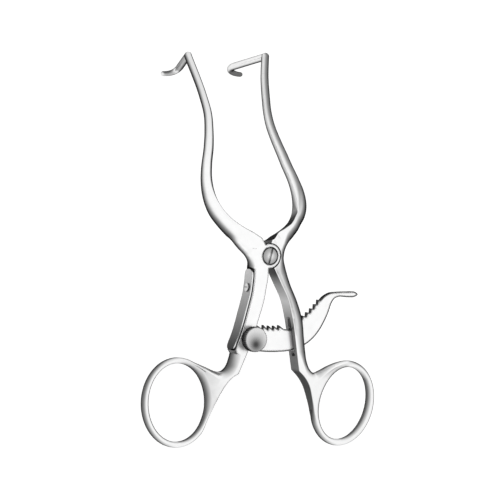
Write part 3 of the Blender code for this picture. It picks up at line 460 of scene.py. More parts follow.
def evaluated_mesh(thing):
    """A new mesh with the object's modifiers or curve settings applied."""
    bpy.context.view_layer.update()
    return bpy.data.meshes.new_from_object(thing.evaluated_get(bpy.context.evaluated_depsgraph_get()))


def welded(thing, distance):
    """The mesh that an object makes, in place of the object, closed where points lie together."""
    mesh = bmesh.new()
    mesh.from_mesh(evaluated_mesh(thing))
    bpy.data.objects.remove(thing)
    bmesh.ops.remove_doubles(mesh, verts=mesh.verts, dist=distance)
    bmesh.ops.recalc_face_normals(mesh, faces=mesh.faces[:])
    return mesh


def curve_mesh(name, points, radii, closed, **settings):
    """The closed mesh of a curve drawn in millimetres."""
    curve = bpy.data.curves.new(name, "CURVE")
    for key, value in settings.items():
        setattr(curve, key, value)
    spline = curve.splines.new("POLY")
    spline.points.add(len(points) - 1)
    spline.use_cyclic_u = closed
    for spot, place, radius in zip(spline.points, points, radii):
        spot.co = (*place, 1)
        spot.radius = radius
    mesh = welded(link(name, curve), WELD)
    bmesh.ops.scale(mesh, vec=(MM, MM, MM), verts=mesh.verts)
    return mesh


def extrude_outline(name, points, low, high):
    """A flat outline in X and Y with thickness along Z."""
    mesh = curve_mesh(name, [(*spot, 0) for spot in points], [1] * len(points), True,
                      dimensions="2D", fill_mode="BOTH", extrude=(high - low) / 2)
    bmesh.ops.translate(mesh, verts=mesh.verts, vec=(0, 0, (low + high) / 2 * MM))
    return as_object(name, mesh)


def placed(name, mesh, offset, turn):
    """An object from a mesh that is moved by millimetres and then placed by a matrix, if given."""
    bmesh.ops.translate(mesh, verts=mesh.verts, vec=[value * MM for value in offset])
    if turn:
        bmesh.ops.transform(mesh, matrix=turn, verts=mesh.verts)
    return as_object(name, mesh)


def cylinder(name, radius, low, high, centre=(0, 0), sides=ROUND_SIDES, turn=None):
    """A cylinder along Z, or along the +Z of a given placing matrix."""
    mesh = bmesh.new()
    bmesh.ops.create_cone(mesh, cap_ends=True, segments=sides, radius1=radius * MM,
                          radius2=radius * MM, depth=(high - low) * MM)
    return placed(name, mesh, (*centre, (low + high) / 2), turn)


def box(name, size, middle, turn=None):
    mesh = bmesh.new()
    bmesh.ops.create_cube(mesh, size=1)
    bmesh.ops.scale(mesh, vec=[value * MM for value in size], verts=mesh.verts)
    return placed(name, mesh, middle, turn)


def turned(name, profile):
    """A turned piece about Z from its profile, given as radius and height from top to bottom."""
    data = bpy.data.meshes.new(name)
    spots = [(radius * MM, 0, height * MM) for radius, height in profile]
    data.from_pydata(spots, [(i, i + 1) for i in range(len(spots) - 1)], [])
    made = link(name, data)
    screw = made.modifiers.new("turn", "SCREW")
    screw.axis = "Z"
    screw.steps = screw.render_steps = ROUND_SIDES
    screw.use_merge_vertices = True
    screw.merge_threshold = WELD * MM
    screw.use_normal_calculate = True
    return as_object(name, welded(made, WELD * MM))


def tube_along(name, points, radii):
    """A tube with filled ends along points in space."""
    tube = as_object(name, curve_mesh(name, points, radii, False, dimensions="3D", bevel_depth=1,
                                      bevel_resolution=8, use_fill_caps=True))
    tube.data.polygons.foreach_set("material_index", [HOOK_FACES] * len(tube.data.polygons))
    add_slots(tube)
    return tube


def combine(target, other, operation="DIFFERENCE"):
    """Cut the second solid from the first, or join it on with "UNION"."""
    modifier = target.modifiers.new(other.name, "BOOLEAN")
    modifier.operation = operation
    modifier.object = other
    target.data = evaluated_mesh(target)
    target.modifiers.clear()
    bpy.data.objects.remove(other)


def hook_path(side, corner):
    """From the jaw's corner straight back, then curling outward to the hook's blunt end."""
    leg = np.array([-side * HOOK_LEG[0], HOOK_LEG[1], HOOK_LEG[2]])
    curl = np.array([side * HOOK_CURL[0], HOOK_CURL[1], HOOK_CURL[2]])
    start = np.array(corner) + leg
    end = start + curl
    reach = HOOK_SWEEP * norm(curl)
    controls = [start, start + leg / norm(leg) * reach, end - np.array([side * reach, 0, 0]), end]
    path = [np.array(corner)]
    radii = [TUBE_RADIUS]
    for t in np.linspace(0, 1, HOOK_STATIONS):
        weights = [(1 - t)**3, 3 * t * (1 - t)**2, 3 * t**2 * (1 - t), t**3]
        path.append(sum(weight * control for weight, control in zip(weights, controls)))
        radii.append(TUBE_RADIUS + (HOOK_END_RADIUS - TUBE_RADIUS) * t)
    ahead = (path[-1] - path[-2]) / norm(path[-1] - path[-2])
    for turn in np.radians(HOOK_END_TURNS):
        path.append(end + ahead * HOOK_END_RADIUS * sin(turn))
        radii.append(HOOK_END_RADIUS * cos(turn))
    return path, radii


def arm_outline(shape):
    """The arm's outline down its inner edge, round the ring and back up its outer edge.

    The middle of the jaw's tip is given with it."""
    ring = shape["ring"]
    around = ellipse(ring["centre"], ring["rim"], ring["tilt"], *ring["arc"], RIM_POINTS)
    boss = arc((0, 0), BOSS_RADIUS, *shape["boss_arc"], EDGE_STEP / 2)
    handle = np.vstack([with_rounding(boss[-1:], CRISP), shape["handle_inner"]])
    ring_run = np.vstack([shape["web_lower"], with_rounding(around, RING_EDGE), shape["web_upper"]])
    tip_in = shape["jaw_inner"][0, :2]
    tip_out = shape["outer"][-1][-1, :2]
    middle = (tip_in + tip_out) / 2
    radius = norm(tip_in - tip_out) / 2
    lean = degrees(atan2(*(tip_out - middle)[::-1]))
    tip = arc(middle, radius, lean, lean + 180 * shape["side"], radius / 2)[1:-1]
    jaw, *rest = [smooth_curve(run, EDGE_STEP)
                  for run in (shape["jaw_inner"], handle, ring_run, *shape["outer"])]
    runs = [jaw, with_rounding(boss, CRISP), *rest, with_rounding(tip, radius * TIP_SHARE)]
    return join_runs(runs), middle


def ring_hole(ring):
    """The finger ring's hole, rounded most where it meets the web."""
    around = ellipse(ring["centre"], ring["hole"], ring["tilt"], 0, 360, HOLE_POINTS)[:-1]
    towards_arm = np.array(HANDLE_MIDDLE) - np.array(ring["centre"])
    towards_arm = towards_arm / norm(towards_arm)
    offsets = around - np.array(ring["centre"])
    facing = offsets @ towards_arm / norm(offsets, axis=1)
    rounding = RING_EDGE + (RING_EDGE_AT_WEB - RING_EDGE) * smoothstep(*WEB_SIDE, facing)
    return np.column_stack([around, rounding])


def make_arm(shape):
    """One arm with its finger ring, boss, jaw and hook, before anything is cut into it."""
    outline, tip = arm_outline(shape)
    x, along, _ = shape["web_upper"][WEB_ROOT]
    web_root = (x - shape["side"] * WEB_ROOT_INSET, along)
    arm = plate(shape["name"], outline, ring_hole(shape["ring"]), web_root)
    path, radii = hook_path(shape["side"], bend(*tip, 0))
    combine(arm, tube_along(shape["name"] + "_hook", path, radii), "UNION")
    return arm


def seat_direction(y):
    """Point and unit direction along the spring's seat at a height, pointing down the handle."""
    seat = smooth_curve(SPRING_SEAT, 0.5)[::-1]
    index = int(np.argmin(np.abs(seat[:, 1] - y)))
    index = min(max(index, 1), len(seat) - 2)
    along = seat[index + 1, :2] - seat[index - 1, :2]
    return seat[index, :2], along / norm(along)


def spring_screw_frame():
    """Placing matrix at the spring screw: +Z out of the seat, origin on the arm's surface."""
    spot, along = seat_direction(SPRING_SCREW_Y)
    outward = Vector((along[1], -along[0], 0))
    across = Vector((0, 0, 1))
    rotation = Matrix((across.cross(outward), across, outward)).transposed()
    return Matrix.Translation(Vector((spot[0], spot[1], 0)) * MM) @ rotation.to_4x4()


def open_joint(arm, low, high):
    """Cut the recess for the other arm's boss between two heights, and the pivot screw's bore."""
    combine(arm, cylinder("lap_recess", BOSS_RADIUS + RUNNING_GAP, low, high, sides=JOINT_SIDES))
    combine(arm, cylinder("pivot_bore", PIVOT_SHANK_RADIUS + RUNNING_GAP, -BEYOND, BEYOND))


def make_left_arm():
    arm = make_arm(LEFT_ARM)
    boss = cylinder("knob_boss", KNOB_BOSS_RADIUS, -HALF_THICKNESS, HALF_THICKNESS, BAR_PIVOT)
    combine(arm, boss, "UNION")
    open_joint(arm, -BEYOND, RUNNING_GAP / 2)
    head_seat = HALF_THICKNESS - PIVOT_HEAD_SEAT
    combine(arm, cylinder("counterbore", PIVOT_HEAD_RADIUS + RUNNING_GAP, head_seat, BEYOND))
    combine(arm, cylinder("knob_bore", KNOB_SHANK_RADIUS + RUNNING_GAP, -BEYOND, BEYOND, BAR_PIVOT))
    combine(arm, bar_pocket())
    depth = SPRING_SCREW_LENGTH - SPRING_THICKNESS
    combine(arm, spring_bore(-depth, 2))
    return arm


def spring_bore(low, high):
    """What the spring screw's bore takes away, between two heights over the arm's seat."""
    return cylinder("spring_bore", SPRING_SHANK_RADIUS + RUNNING_GAP, low, high,
                    turn=spring_screw_frame())


def bar_pocket():
    """The slot in the left arm that takes the bar's hub and lets its heel reach the spring."""
    half = BAR_THICKNESS / 2 + RUNNING_GAP
    reach = BAR_HUB_RADIUS + HUB_ROOM
    round_end = arc(BAR_PIVOT, reach, 95, 175, step=1.2)
    inner = [(6.0, BAR_PIVOT[1] + reach), (BAR_PIVOT[0], BAR_PIVOT[1] + reach)]
    outer = [(-15.5, BAR_PIVOT[1] + 0.3), (-15.5, -34.9), (-11.2, -35.6), (BAR_PIVOT[0] - 1.5, -37.6),
             (BAR_PIVOT[0], -38.0), (6.0, -38.4)]
    return extrude_outline("bar_pocket", [*inner, *round_end, *outer], -half, half)


def make_right_arm():
    arm = make_arm(RIGHT_ARM)
    open_joint(arm, -RUNNING_GAP / 2, BEYOND)
    combine(arm, ratchet_window())
    return arm


def tooth_tips(first, count):
    """Tips of a row of teeth on their circle."""
    angles = [radians(first + k * TOOTH_PITCH) for k in range(count)]
    return [(TOOTH_CENTRE[0] + TOOTH_TIP_RADIUS * sin(angle),
             TOOTH_CENTRE[1] - TOOTH_TIP_RADIUS * cos(angle)) for angle in angles]


def released(point):
    """Where a point of the bar goes when the bar is pressed down out of mesh."""
    x, y = point[0] - BAR_PIVOT[0], point[1] - BAR_PIVOT[1]
    return (BAR_PIVOT[0] + x * cos(BAR_RELEASE) - y * sin(BAR_RELEASE),
            BAR_PIVOT[1] + x * sin(BAR_RELEASE) + y * cos(BAR_RELEASE))


def ratchet_window():
    """The slot in the right arm round the pivot axis, whose upper end holds the pawl edge.

    The pawl edge runs clear over every tooth, and the lower end clears the pressed bar."""
    half = BAR_THICKNESS / 2 + RUNNING_GAP
    pawl = min(hypot(*tip) for tip in tooth_tips(*FIRST_ROW) + tooth_tips(*SECOND_ROW)) - RUNNING_GAP
    floor = max(hypot(*released(point)) for point in BAR_LOWER_EDGE) + RUNNING_GAP
    edge = radians(PAWL_ANGLE - 90)
    entrance = degrees(edge) - WINDOW_HALF_ANGLE
    exit_side = degrees(edge) + WINDOW_HALF_ANGLE
    high = pawl - TOOTH_DEPTH
    ceiling = [(pawl * cos(edge), pawl * sin(edge)),
               (high * cos(edge + 0.02), high * sin(edge + 0.02))]
    rising = arc((0, 0), pawl - PAWL_RISE, entrance, degrees(edge) - 7, step=2.5)
    relief = arc((0, 0), high, degrees(edge) + 6, exit_side, step=2.5)
    lower = arc((0, 0), floor, exit_side, entrance, step=3.0)
    return extrude_outline("ratchet_window", [*rising, *ceiling, *relief, *lower], -half, half)


def tooth_row(first, count):
    """Tooth tips with a steep face on the left and a gentle flank on the right."""
    return [spot for x, y in tooth_tips(first, count)
            for spot in ((x - TOOTH_UNDERCUT, y - TOOTH_DEPTH), (x, y))]


def make_ratchet_bar():
    """The toothed bar with its hub, heel and thumb tail, in one flat outline."""
    hub_bottom = arc(BAR_PIVOT, BAR_HUB_RADIUS, *HUB_BOTTOM, step=1.0)
    hub_top = arc(BAR_PIVOT, BAR_HUB_RADIUS, *HUB_TOP, step=1.2)
    spot, along = seat_direction(BAR_PIVOT[1])
    heel = [spot + along * reach for reach in reversed(HEEL_OFFSETS)]
    tail = smooth_curve(BAR_TAIL, step=0.8)[:-1]
    outline = [*hub_top, BAR_TOP_SHOULDER, *tooth_row(*FIRST_ROW), *BAR_PLAIN_STRETCH,
               *tooth_row(*SECOND_ROW), *tail, *smooth_curve(BAR_LOWER_EDGE, step=2.5),
               *hub_bottom, *heel]
    half = BAR_THICKNESS / 2
    bar = extrude_outline("toothed_bar", outline, -half, half)
    deep = half + 1
    combine(bar, cylinder("bar_bore", KNOB_SHANK_RADIUS + RUNNING_GAP, -deep, deep, BAR_PIVOT))
    return bar


def make_pivot_screw():
    """Slotted cheese-head screw through both bosses, its top a little crowned."""
    top = HALF_THICKNESS + PIVOT_HEAD_PROUD
    under = HALF_THICKNESS - PIVOT_HEAD_SEAT + RUNNING_GAP
    rim = PIVOT_HEAD_RADIUS - PIVOT_HEAD_EDGE
    below = top - PIVOT_CROWN - PIVOT_HEAD_EDGE
    crown = [(rim + PIVOT_HEAD_EDGE * sin(a), below + PIVOT_HEAD_EDGE * cos(a))
             for a in np.radians(np.linspace(0, 90, 7))]
    profile = [(0, top), (PIVOT_HEAD_RADIUS / 2, top - PIVOT_CROWN / 4), *crown,
               (PIVOT_HEAD_RADIUS, under), (PIVOT_SHANK_RADIUS, under),
               (PIVOT_SHANK_RADIUS, -HALF_THICKNESS + SHANK_CHAMFER),
               (PIVOT_SHANK_RADIUS - SHANK_CHAMFER, -HALF_THICKNESS), (0, -HALF_THICKNESS)]
    screw = turned("slotted_pivot", profile)
    size = (4 * PIVOT_HEAD_RADIUS, SLOT_WIDTH, 2 * SLOT_DEPTH)
    turn = Matrix.Rotation(PIVOT_SLOT_ANGLE, 4, "Z")
    combine(screw, box("driver_slot", size, (0, 0, top), turn))
    return screw


def make_thumb_screw():
    """Knurled thumb screw, lofted ring by ring so that the knurls run out into its chamfers."""
    low = HALF_THICKNESS + RUNNING_GAP
    high = low + KNOB_HEIGHT
    face_radius = KNOB_RADIUS - 0.2
    # Radius, height and share of the knurls' depth, from the face's middle to the shank's end
    rows = [(share * face_radius, high - KNOB_DISH * (1 - share**2), 0.0)
            for share in (0.0, 0.2, 0.4, 0.6, 0.8, 0.95)]
    rows += [(face_radius, high - 0.05, 0.0), (KNOB_RADIUS - 0.05, high - 0.2, 0.4),
             (KNOB_RADIUS, high - 0.45, 1.0), (KNOB_RADIUS, low + 0.6, 1.0),
             (KNOB_RADIUS - 0.12, low + 0.4, 0.8), (face_radius - 0.3, low, 0.0),
             (KNOB_SHANK_RADIUS, low, 0.0),
             (KNOB_SHANK_RADIUS, -HALF_THICKNESS + SHANK_CHAMFER, 0.0),
             (KNOB_SHANK_RADIUS - SHANK_CHAMFER, -HALF_THICKNESS, 0.0)]
    steps = 6 * KNURLS
    mesh = bmesh.new()
    rings = []
    for radius, height, share in rows:
        ring = []
        for k in range(steps):
            turn = 2 * pi * k / steps
            groove = KNURL_DEPTH * share * (0.5 - 0.5 * cos(KNURLS * turn))
            reach = (radius - groove) * MM
            ring.append(mesh.verts.new((BAR_PIVOT[0] * MM + reach * cos(turn),
                                        BAR_PIVOT[1] * MM + reach * sin(turn), height * MM)))
        rings.append(ring)
    for one, two in zip(rings, rings[1:]):
        for k in range(steps):
            mesh.faces.new((one[k], two[k], two[(k + 1) % steps], one[(k + 1) % steps]))
    mesh.faces.new(rings[-1])
    bmesh.ops.remove_doubles(mesh, verts=mesh.verts, dist=WELD * MM)
    bmesh.ops.recalc_face_normals(mesh, faces=mesh.faces[:])
    return as_object("knurled_thumb_screw", mesh)


def make_leaf_spring():
    """Flat spring that lies on the left arm's seat and covers the bar's heel."""
    seat = smooth_curve(SPRING_SEAT, 0.6)[::-1][:, :2]
    along = np.gradient(seat, axis=0)
    along /= norm(along, axis=1)[:, None]
    outward = np.stack([along[:, 1], -along[:, 0]], axis=1)
    travelled = np.concatenate([[0], np.cumsum(norm(np.diff(seat, axis=0), axis=1))])
    outer = RUNNING_GAP + SPRING_THICKNESS
    mesh = bmesh.new()
    sections = []
    for place, out, distance in zip(seat, outward, travelled):
        to_end = min(distance, travelled[-1] - distance)
        share = sqrt(max(0.0, 1 - (1 - min(to_end / SPRING_END_TAPER, 1))**2))
        half = SPRING_END_HALF_WIDTH + (SPRING_HALF_WIDTH - SPRING_END_HALF_WIDTH) * share
        corners = []
        for lift, height in ((SPRING_LIFT, -half), (outer, -half), (outer, half), (SPRING_LIFT, half)):
            x, y = place + out * lift
            corners.append(mesh.verts.new((x * MM, y * MM, height * MM)))
        sections.append(corners)
    for one, two in zip(sections, sections[1:]):
        for k in range(4):
            mesh.faces.new((one[k], one[(k + 1) % 4], two[(k + 1) % 4], two[k]))
    mesh.faces.new(sections[0])
    mesh.faces.new(sections[-1][::-1])
    bmesh.ops.recalc_face_normals(mesh, faces=mesh.faces[:])
    spring = as_object("flat_spring", mesh)
    combine(spring, spring_bore(-2, 3))
    return spring


def make_spring_screw():
    """Small slotted screw that clamps the spring's upper end."""
    radius = SPRING_HEAD_RADIUS
    under = 2 * RUNNING_GAP + SPRING_THICKNESS
    top = under + SPRING_HEAD_HEIGHT
    end = SPRING_THICKNESS - SPRING_SCREW_LENGTH + RUNNING_GAP
    profile = [(0, top), (radius - 0.4, top - 0.05), (radius, top - 0.3), (radius, under),
               (SPRING_SHANK_RADIUS, under), (SPRING_SHANK_RADIUS, end), (0, end)]
    screw = turned("slotted_spring_screw", profile)
    width, depth = SMALL_SLOT
    combine(screw, box("driver_slot", (width, 4 * radius, depth), (0, 0, top)))
    screw.data.transform(spring_screw_frame())
    return screw


def finish_piece(piece, materials, bevel):
    """Soften the cut edges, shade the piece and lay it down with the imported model."""
    if bevel:
        soften = piece.modifiers.new("soften", "BEVEL")
        soften.width = bevel * MM
        soften.segments = 2
        soften.limit_method = "ANGLE"
        soften.angle_limit = SOFTEN_ANGLE
        soften.use_clamp_overlap = True
        piece.data = evaluated_mesh(piece)
        piece.modifiers.clear()
    piece.data.shade_smooth()
    piece.data.set_sharp_from_angle(angle=SHARP_ANGLE)
    weights = piece.modifiers.new("normals", "WEIGHTED_NORMAL")
    weights.keep_sharp = True
    while len(piece.data.materials) < len(materials):
        piece.data.materials.append(None)
    for index, material in enumerate(materials):
        piece.data.materials[index] = material
    piece.data.transform(PLACE)


def fill(tree, target, inputs):
    """Set a node's inputs, by name or number, to plain values or to other nodes' outputs."""
    for key, value in inputs.items():
        if isinstance(value, bpy.types.NodeSocket):
            tree.links.new(value, target.inputs[key])
        else:
            target.inputs[key].default_value = value


def node(tree, kind, inputs, **settings):
    """The outputs of a new node."""
    made = tree.nodes.new(kind)
    for key, value in settings.items():
        setattr(made, key, value)
    fill(tree, made, inputs)
    return made.outputs


def math_node(tree, operation, first, second):
    return node(tree, "ShaderNodeMath", {0: first, 1: second}, operation=operation)[0]


def vector_math(tree, operation, first, second):
    """The number that two vectors give."""
    return node(tree, "ShaderNodeVectorMath", {0: first, 1: second}, operation=operation)["Value"]


def spread(tree, value, low, high, to_low=0.0, to_high=1.0, kind="LINEAR"):
    """A number moved from one range to another, and held within it."""
    inputs = {"Value": value, "From Min": low, "From Max": high, "To Min": to_low, "To Max": to_high}
    return node(tree, "ShaderNodeMapRange", inputs, interpolation_type=kind)["Result"]


def mixed(tree, share, first, second, kind="FLOAT"):
    """Between two tones, vectors or colours."""
    inputs = {"Factor": share, "A": first, "B": second}
    return node(tree, "ShaderNodeMix", inputs, data_type=kind)["Result"]


def grey_ramp(tree, value, stops):
    """Tone read from (value, tone) stops."""
    low, high = stops[0][0], stops[-1][0]
    ramp = tree.nodes.new("ShaderNodeValToRGB")
    elements = ramp.color_ramp.elements
    for at, _ in stops[1:-1]:
        elements.new((at - low) / (high - low))
    for element, (_, tone) in zip(elements, stops):
        element.color = (tone, tone, tone, 1)
    fill(tree, ramp, {"Fac": spread(tree, value, low, high)})
    return ramp.outputs["Color"]


def surface_facts(tree):
    """What the tones are read from, all in the instrument's frame.

    The place in millimetres, the surface's direction, its share of the front, and the degrees
    that it is turned sideways from there."""
    shared = node(tree, "ShaderNodeTexCoord", {})
    laid_down = {"Vector": shared["Object"], "Location": PIVOT_PLACE, "Rotation": (LEAN, 0, 0),
                 "Scale": (MM, MM, MM)}
    place = node(tree, "ShaderNodeMapping", laid_down, vector_type="TEXTURE")["Vector"]
    y = node(tree, "ShaderNodeSeparateXYZ", {0: place})["Y"]
    normal = node(tree, "ShaderNodeVectorRotate", {"Vector": shared["Normal"], "Angle": -LEAN},
                  rotation_type="X_AXIS")["Vector"]

    # The front of the jaws leans with them
    jaw_front = (0, sin(BEND_ANGLE), cos(BEND_ANGLE))
    jaw = spread(tree, y, BEND_START, BEND_END, kind="SMOOTHSTEP")
    front = vector_math(tree, "DOT_PRODUCT", normal, mixed(tree, jaw, (0, 0, 1), jaw_front, "VECTOR"))
    sideways = node(tree, "ShaderNodeSeparateXYZ", {0: normal})["X"]
    angle = math_node(tree, "DEGREES", math_node(tree, "ARCTAN2", sideways, front), 0)
    return {"place": place, "y": y, "normal": normal, "front": front, "angle": angle}


def new_material(name):
    """A material, its node tree and its shader."""
    material = bpy.data.materials.new(name)
    material.use_nodes = True
    return material, material.node_tree, material.node_tree.nodes["Principled BSDF"]


def metal(name, tone_of, roughness, brushing, edge_radius=0.35, edge_shade_strength=0.6):
    """Satin stainless steel: a tone of painted light and shade over the surface, fine brushing, soft
    patches, and painted shade along the sharp edges.
    """
    material, tree, shader = new_material(name)
    facts = surface_facts(tree)

    # Fine streaks along the instrument, and soft patches left by polishing
    stretched = node(tree, "ShaderNodeMapping", {"Vector": facts["place"], "Scale": brushing})
    streaks = {"Vector": stretched["Vector"], "Scale": 1.0, "Detail": 4.0}
    streaks = node(tree, "ShaderNodeTexNoise", streaks)["Fac"]
    patches = {"Vector": facts["place"], "Scale": 0.35, "Detail": 3.0}
    patches = node(tree, "ShaderNodeTexNoise", patches)["Fac"]
    patchy = spread(tree, patches, 0, 1, PATCH_LOW, PATCH_HIGH)
    tone = math_node(tree, "MULTIPLY", tone_of(tree, facts), patchy)

    # Painted shade darkens the sharp edges, where the surface differs from its bevel-rounded self
    flat = node(tree, "ShaderNodeNewGeometry", {})["Normal"]
    rounded = node(tree, "ShaderNodeBevel", {"Radius": edge_radius * MM}, samples=8)["Normal"]
    likeness = vector_math(tree, "DOT_PRODUCT", flat, rounded)
    edge_shade_share = spread(tree, likeness, EDGE_BEGINS, EDGE_FULL, 0.0, edge_shade_strength, "SMOOTHSTEP")
    bump = {"Strength": BUMP_STRENGTH, "Distance": BUMP_HEIGHT, "Height": streaks}
    fill(tree, shader, {
        "Metallic": 1.0,
        "Specular Tint": (0.1, 0.1, 0.1, 1),
        "Base Color": mixed(tree, edge_shade_share, tone, EDGE_SHADE_COLOUR, "RGBA"),
        "Roughness": spread(tree, streaks, 0, 1, roughness - 0.06, roughness + 0.06),
        "Normal": node(tree, "ShaderNodeBump", bump)["Normal"],
    })
    return material


# Finish of the steel, and the painted shade along its sharp edges
PATCH_LOW, PATCH_HIGH = 0.94, 1.04
EDGE_BEGINS, EDGE_FULL = 0.98, 0.93  # likeness of the surface to its rounded self
# colour of the painted shade on the sharp edges
EDGE_SHADE_COLOUR = (0.06, 0.06, 0.06, 1)
BUMP_STRENGTH = 0.12
BUMP_HEIGHT = 0.00004  # metres

# Painted light and shade of the steel by the way it faces, as degrees turned sideways from the front and
# tone.
# All tables go on with the stops of the back at both ends.
BACK_TONES = [(-180, 0.8), (-144, 0.6)], [(78, 0.4), (122, 0.6), (180, 0.8)]
LEFT_HANDLE_TONES = [
    (-122, 0.07), (-100, 0.08), (-85, 0.14), (-75, 0.21), (-66, 0.32), (-58, 0.47), (-50, 0.68),
    (-42, 0.88), (-34, 0.96), (6, 0.96), (13, 0.6), (20, 0.25), (32, 0.12), (60, 0.1)]
LEFT_JAW_TONES = [
    (-122, 0.08), (-97, 0.09), (-79, 0.18), (-66, 0.44), (-55, 0.64), (-44, 0.88), (-35, 0.96),
    (5, 0.96), (10, 0.7), (15, 0.38), (21, 0.18), (28, 0.1), (45, 0.09), (60, 0.1)]
RIGHT_HANDLE_TONES = [
    (-122, 0.2), (-100, 0.3), (-85, 0.45), (-72, 0.66), (-60, 0.84), (-40, 0.96), (1, 0.95),
    (6, 0.74), (10, 0.5), (16, 0.32), (24, 0.18), (32, 0.11), (45, 0.07), (60, 0.1)]
RIGHT_JAW_TONES = [
    (-122, 0.12), (-93, 0.3), (-72, 0.75), (-57, 0.94), (-44, 0.94), (-31, 0.8), (-19, 0.54),
    (-6, 0.34), (9, 0.2), (25, 0.1), (45, 0.08), (60, 0.1)]
RING_TONES = [
    (-122, 0.1), (-90, 0.12), (-64, 0.15), (-45, 0.25), (-28, 0.44), (-11, 0.7), (-2, 0.9),
    (18, 0.92), (27, 0.6), (35, 0.18), (60, 0.09)]
# Along the instrument in millimetres: where the jaw's painted tones take over, how the tip greys, and
# the painted shade of the flat ground walls, dark near the boss and by the bar's slot
JAW_TAKES_OVER = [(12, 0), (26, 1)]
TIP_GREYS = [(32, 1.0), (62, 0.8)]
GROUND_WALL_SHADE_TONES = [
    (-62, 0.12), (-50, 0.12), (-44, 0.2), (-38, 0.2), (-27, 0.22), (-23, 0.36), (-17, 0.62),
    (-12, 0.44), (-7, 0.14), (7, 0.12), (12, 0.12), (18, 0.3)]
SPRING_TONES = [(-36.5, 0.07), (-33, 0.12), (-28, 0.2), (-22, 0.3), (-14, 0.42), (-5, 0.6)]
# Share of the front, and tone or darkening: painted light and shade by the way the surface faces
STEEP_SHADE_TONES = [(-1.0, 1.0), (-0.5, 0.8), (0.0, 0.7), (0.35, 0.85), (0.6, 1.0), (1.0, 1.0)]
BAR_SHADE_TONES = [(-1, 0.9), (-0.8, 0.2), (0, 0.1), (0.8, 0.2), (1, 0.95)]
SPRING_EDGE_HIGHLIGHT_TONES = [(0.5, 0), (0.9, 0.9)]
SMALL_SCREW_SHADE_TONES = [(-1, 0.5), (1, 0.75)]
KNOB_RIM_SHADE_TONES = [(-1, 0.5), (0.0, 0.3), (0.75, 0.25), (0.95, 1.0)]
# Distance from the middle of the screw's head, where a highlight is painted, or from the painted dark
# reflection on the knob's face, and tone
SCREW_HIGHLIGHT_TONES = [(0, 0.95), (0.9, 0.75), (1.7, 0.5), (3.0, 0.32)]
KNOB_REFLECTION_TONES = [(0, 0.05), (0.8, 0.09), (1.8, 0.24), (3.2, 0.48), (5, 0.68), (7, 0.8)]
KNOB_DARK_REFLECTION = (BAR_PIVOT[0], BAR_PIVOT[1] - 1.9, HALF_THICKNESS + RUNNING_GAP + KNOB_HEIGHT)
# The way that each hook's side with painted light faces, and tone by the share of facing that way
LEFT_HOOK_LIT_WAY = (-0.8, -0.42, 0.43)
LEFT_HOOK_TONES = [
    (-1.0, 0.3), (0.0, 0.1), (0.3, 0.13), (0.5, 0.35), (0.65, 0.62), (0.78, 0.8), (1.0, 0.8)]
RIGHT_HOOK_LIT_WAY = (-0.93, 0.1, 0.34)
RIGHT_HOOK_TONES = [
    (-1.0, 0.2), (-0.3, 0.12), (0.1, 0.15), (0.35, 0.15), (0.5, 0.32), (0.7, 0.7), (0.85, 0.82),
    (1.0, 0.82)]


def hook_painted_light(lit_way, stops):
    """A hook with painted light on the side that faces one way and painted shade all round it."""
    def tone(tree, facts):
        return grey_ramp(tree, vector_math(tree, "DOT_PRODUCT", facts["normal"], lit_way), stops)
    return tone


def arm_painted_shading(handle_tones, jaw_tones, web_start, web_end):
    """Painted light and shade of one arm by the way its surface faces: its handle, its jaw, greyer towards
    the tip, and its ring.
    """
    def tone(tree, facts):
        handle, jaw, ring = [grey_ramp(tree, facts["angle"], [*BACK_TONES[0], *stops, *BACK_TONES[1]])
                             for stops in (handle_tones, jaw_tones, RING_TONES)]
        whole = mixed(tree, grey_ramp(tree, facts["y"], JAW_TAKES_OVER), handle, jaw)
        in_web = grey_ramp(tree, facts["y"], [(web_end, 1), (web_start, 0)])
        whole = mixed(tree, in_web, whole, ring)
        whole = math_node(tree, "MULTIPLY", whole, grey_ramp(tree, facts["front"], STEEP_SHADE_TONES))
        return math_node(tree, "MULTIPLY", whole, grey_ramp(tree, facts["y"], TIP_GREYS))
    return tone


def tone_by(fact, stops):
    """Tone read from one fact about the surface; every use here paints shade by place or by facing."""
    def tone(tree, facts):
        return grey_ramp(tree, facts[fact], stops)
    return tone


def spring_tone(tree, facts):
    """Darker towards its free end, with a painted highlight where its edge faces the front."""
    length = grey_ramp(tree, facts["y"], SPRING_TONES)
    return math_node(tree, "MAXIMUM", length, grey_ramp(tree, facts["front"], SPRING_EDGE_HIGHLIGHT_TONES))


def round_tone(spot, stops, front_stops):
    """Rings of painted light about a spot, pale or dark as the stops give, and painted shade by the share of
    the front over them.
    """
    def tone(tree, facts):
        rings = grey_ramp(tree, vector_math(tree, "DISTANCE", facts["place"], spot), stops)
        return math_node(tree, "MULTIPLY", rings, grey_ramp(tree, facts["front"], front_stops))
    return tone


def add_camera():
    """The photograph's view, from the left, nearly level with the pivot."""
    pixel = 0.38  # millimetres in the pivot's plane
    half_frame = 250  # pixels
    centre = (268.9, 255.7)  # pixel that the pivot's axis point falls on
    aside = Vector((1.3, 0, 0))  # of the whole view, found against the photograph
    azimuth, elevation, roll = radians(30), radians(1.5), radians(2.75)
    data = bpy.data.cameras.new("camera")
    data.sensor_width = 36
    data.lens = 180
    data.clip_start = 0.01
    distance = 2 * half_frame * data.lens / data.sensor_width * pixel
    back = Vector((-sin(azimuth) * cos(elevation), sin(elevation),
                   cos(azimuth) * cos(elevation)))
    level = Vector((0, 1, 0)).cross(back).normalized()
    upright = back.cross(level)
    right = level * cos(roll) + upright * sin(roll)
    up = upright * cos(roll) - level * sin(roll)
    spot = back * distance + aside
    spot += (up * (centre[1] - half_frame) - right * (centre[0] - half_frame)) * pixel
    camera = link("camera", data)
    turned_axes = Matrix((right, up, back)).transposed().to_4x4()
    camera.matrix_world = PLACE @ Matrix.Translation(spot * MM) @ turned_axes
    bpy.context.scene.camera = camera


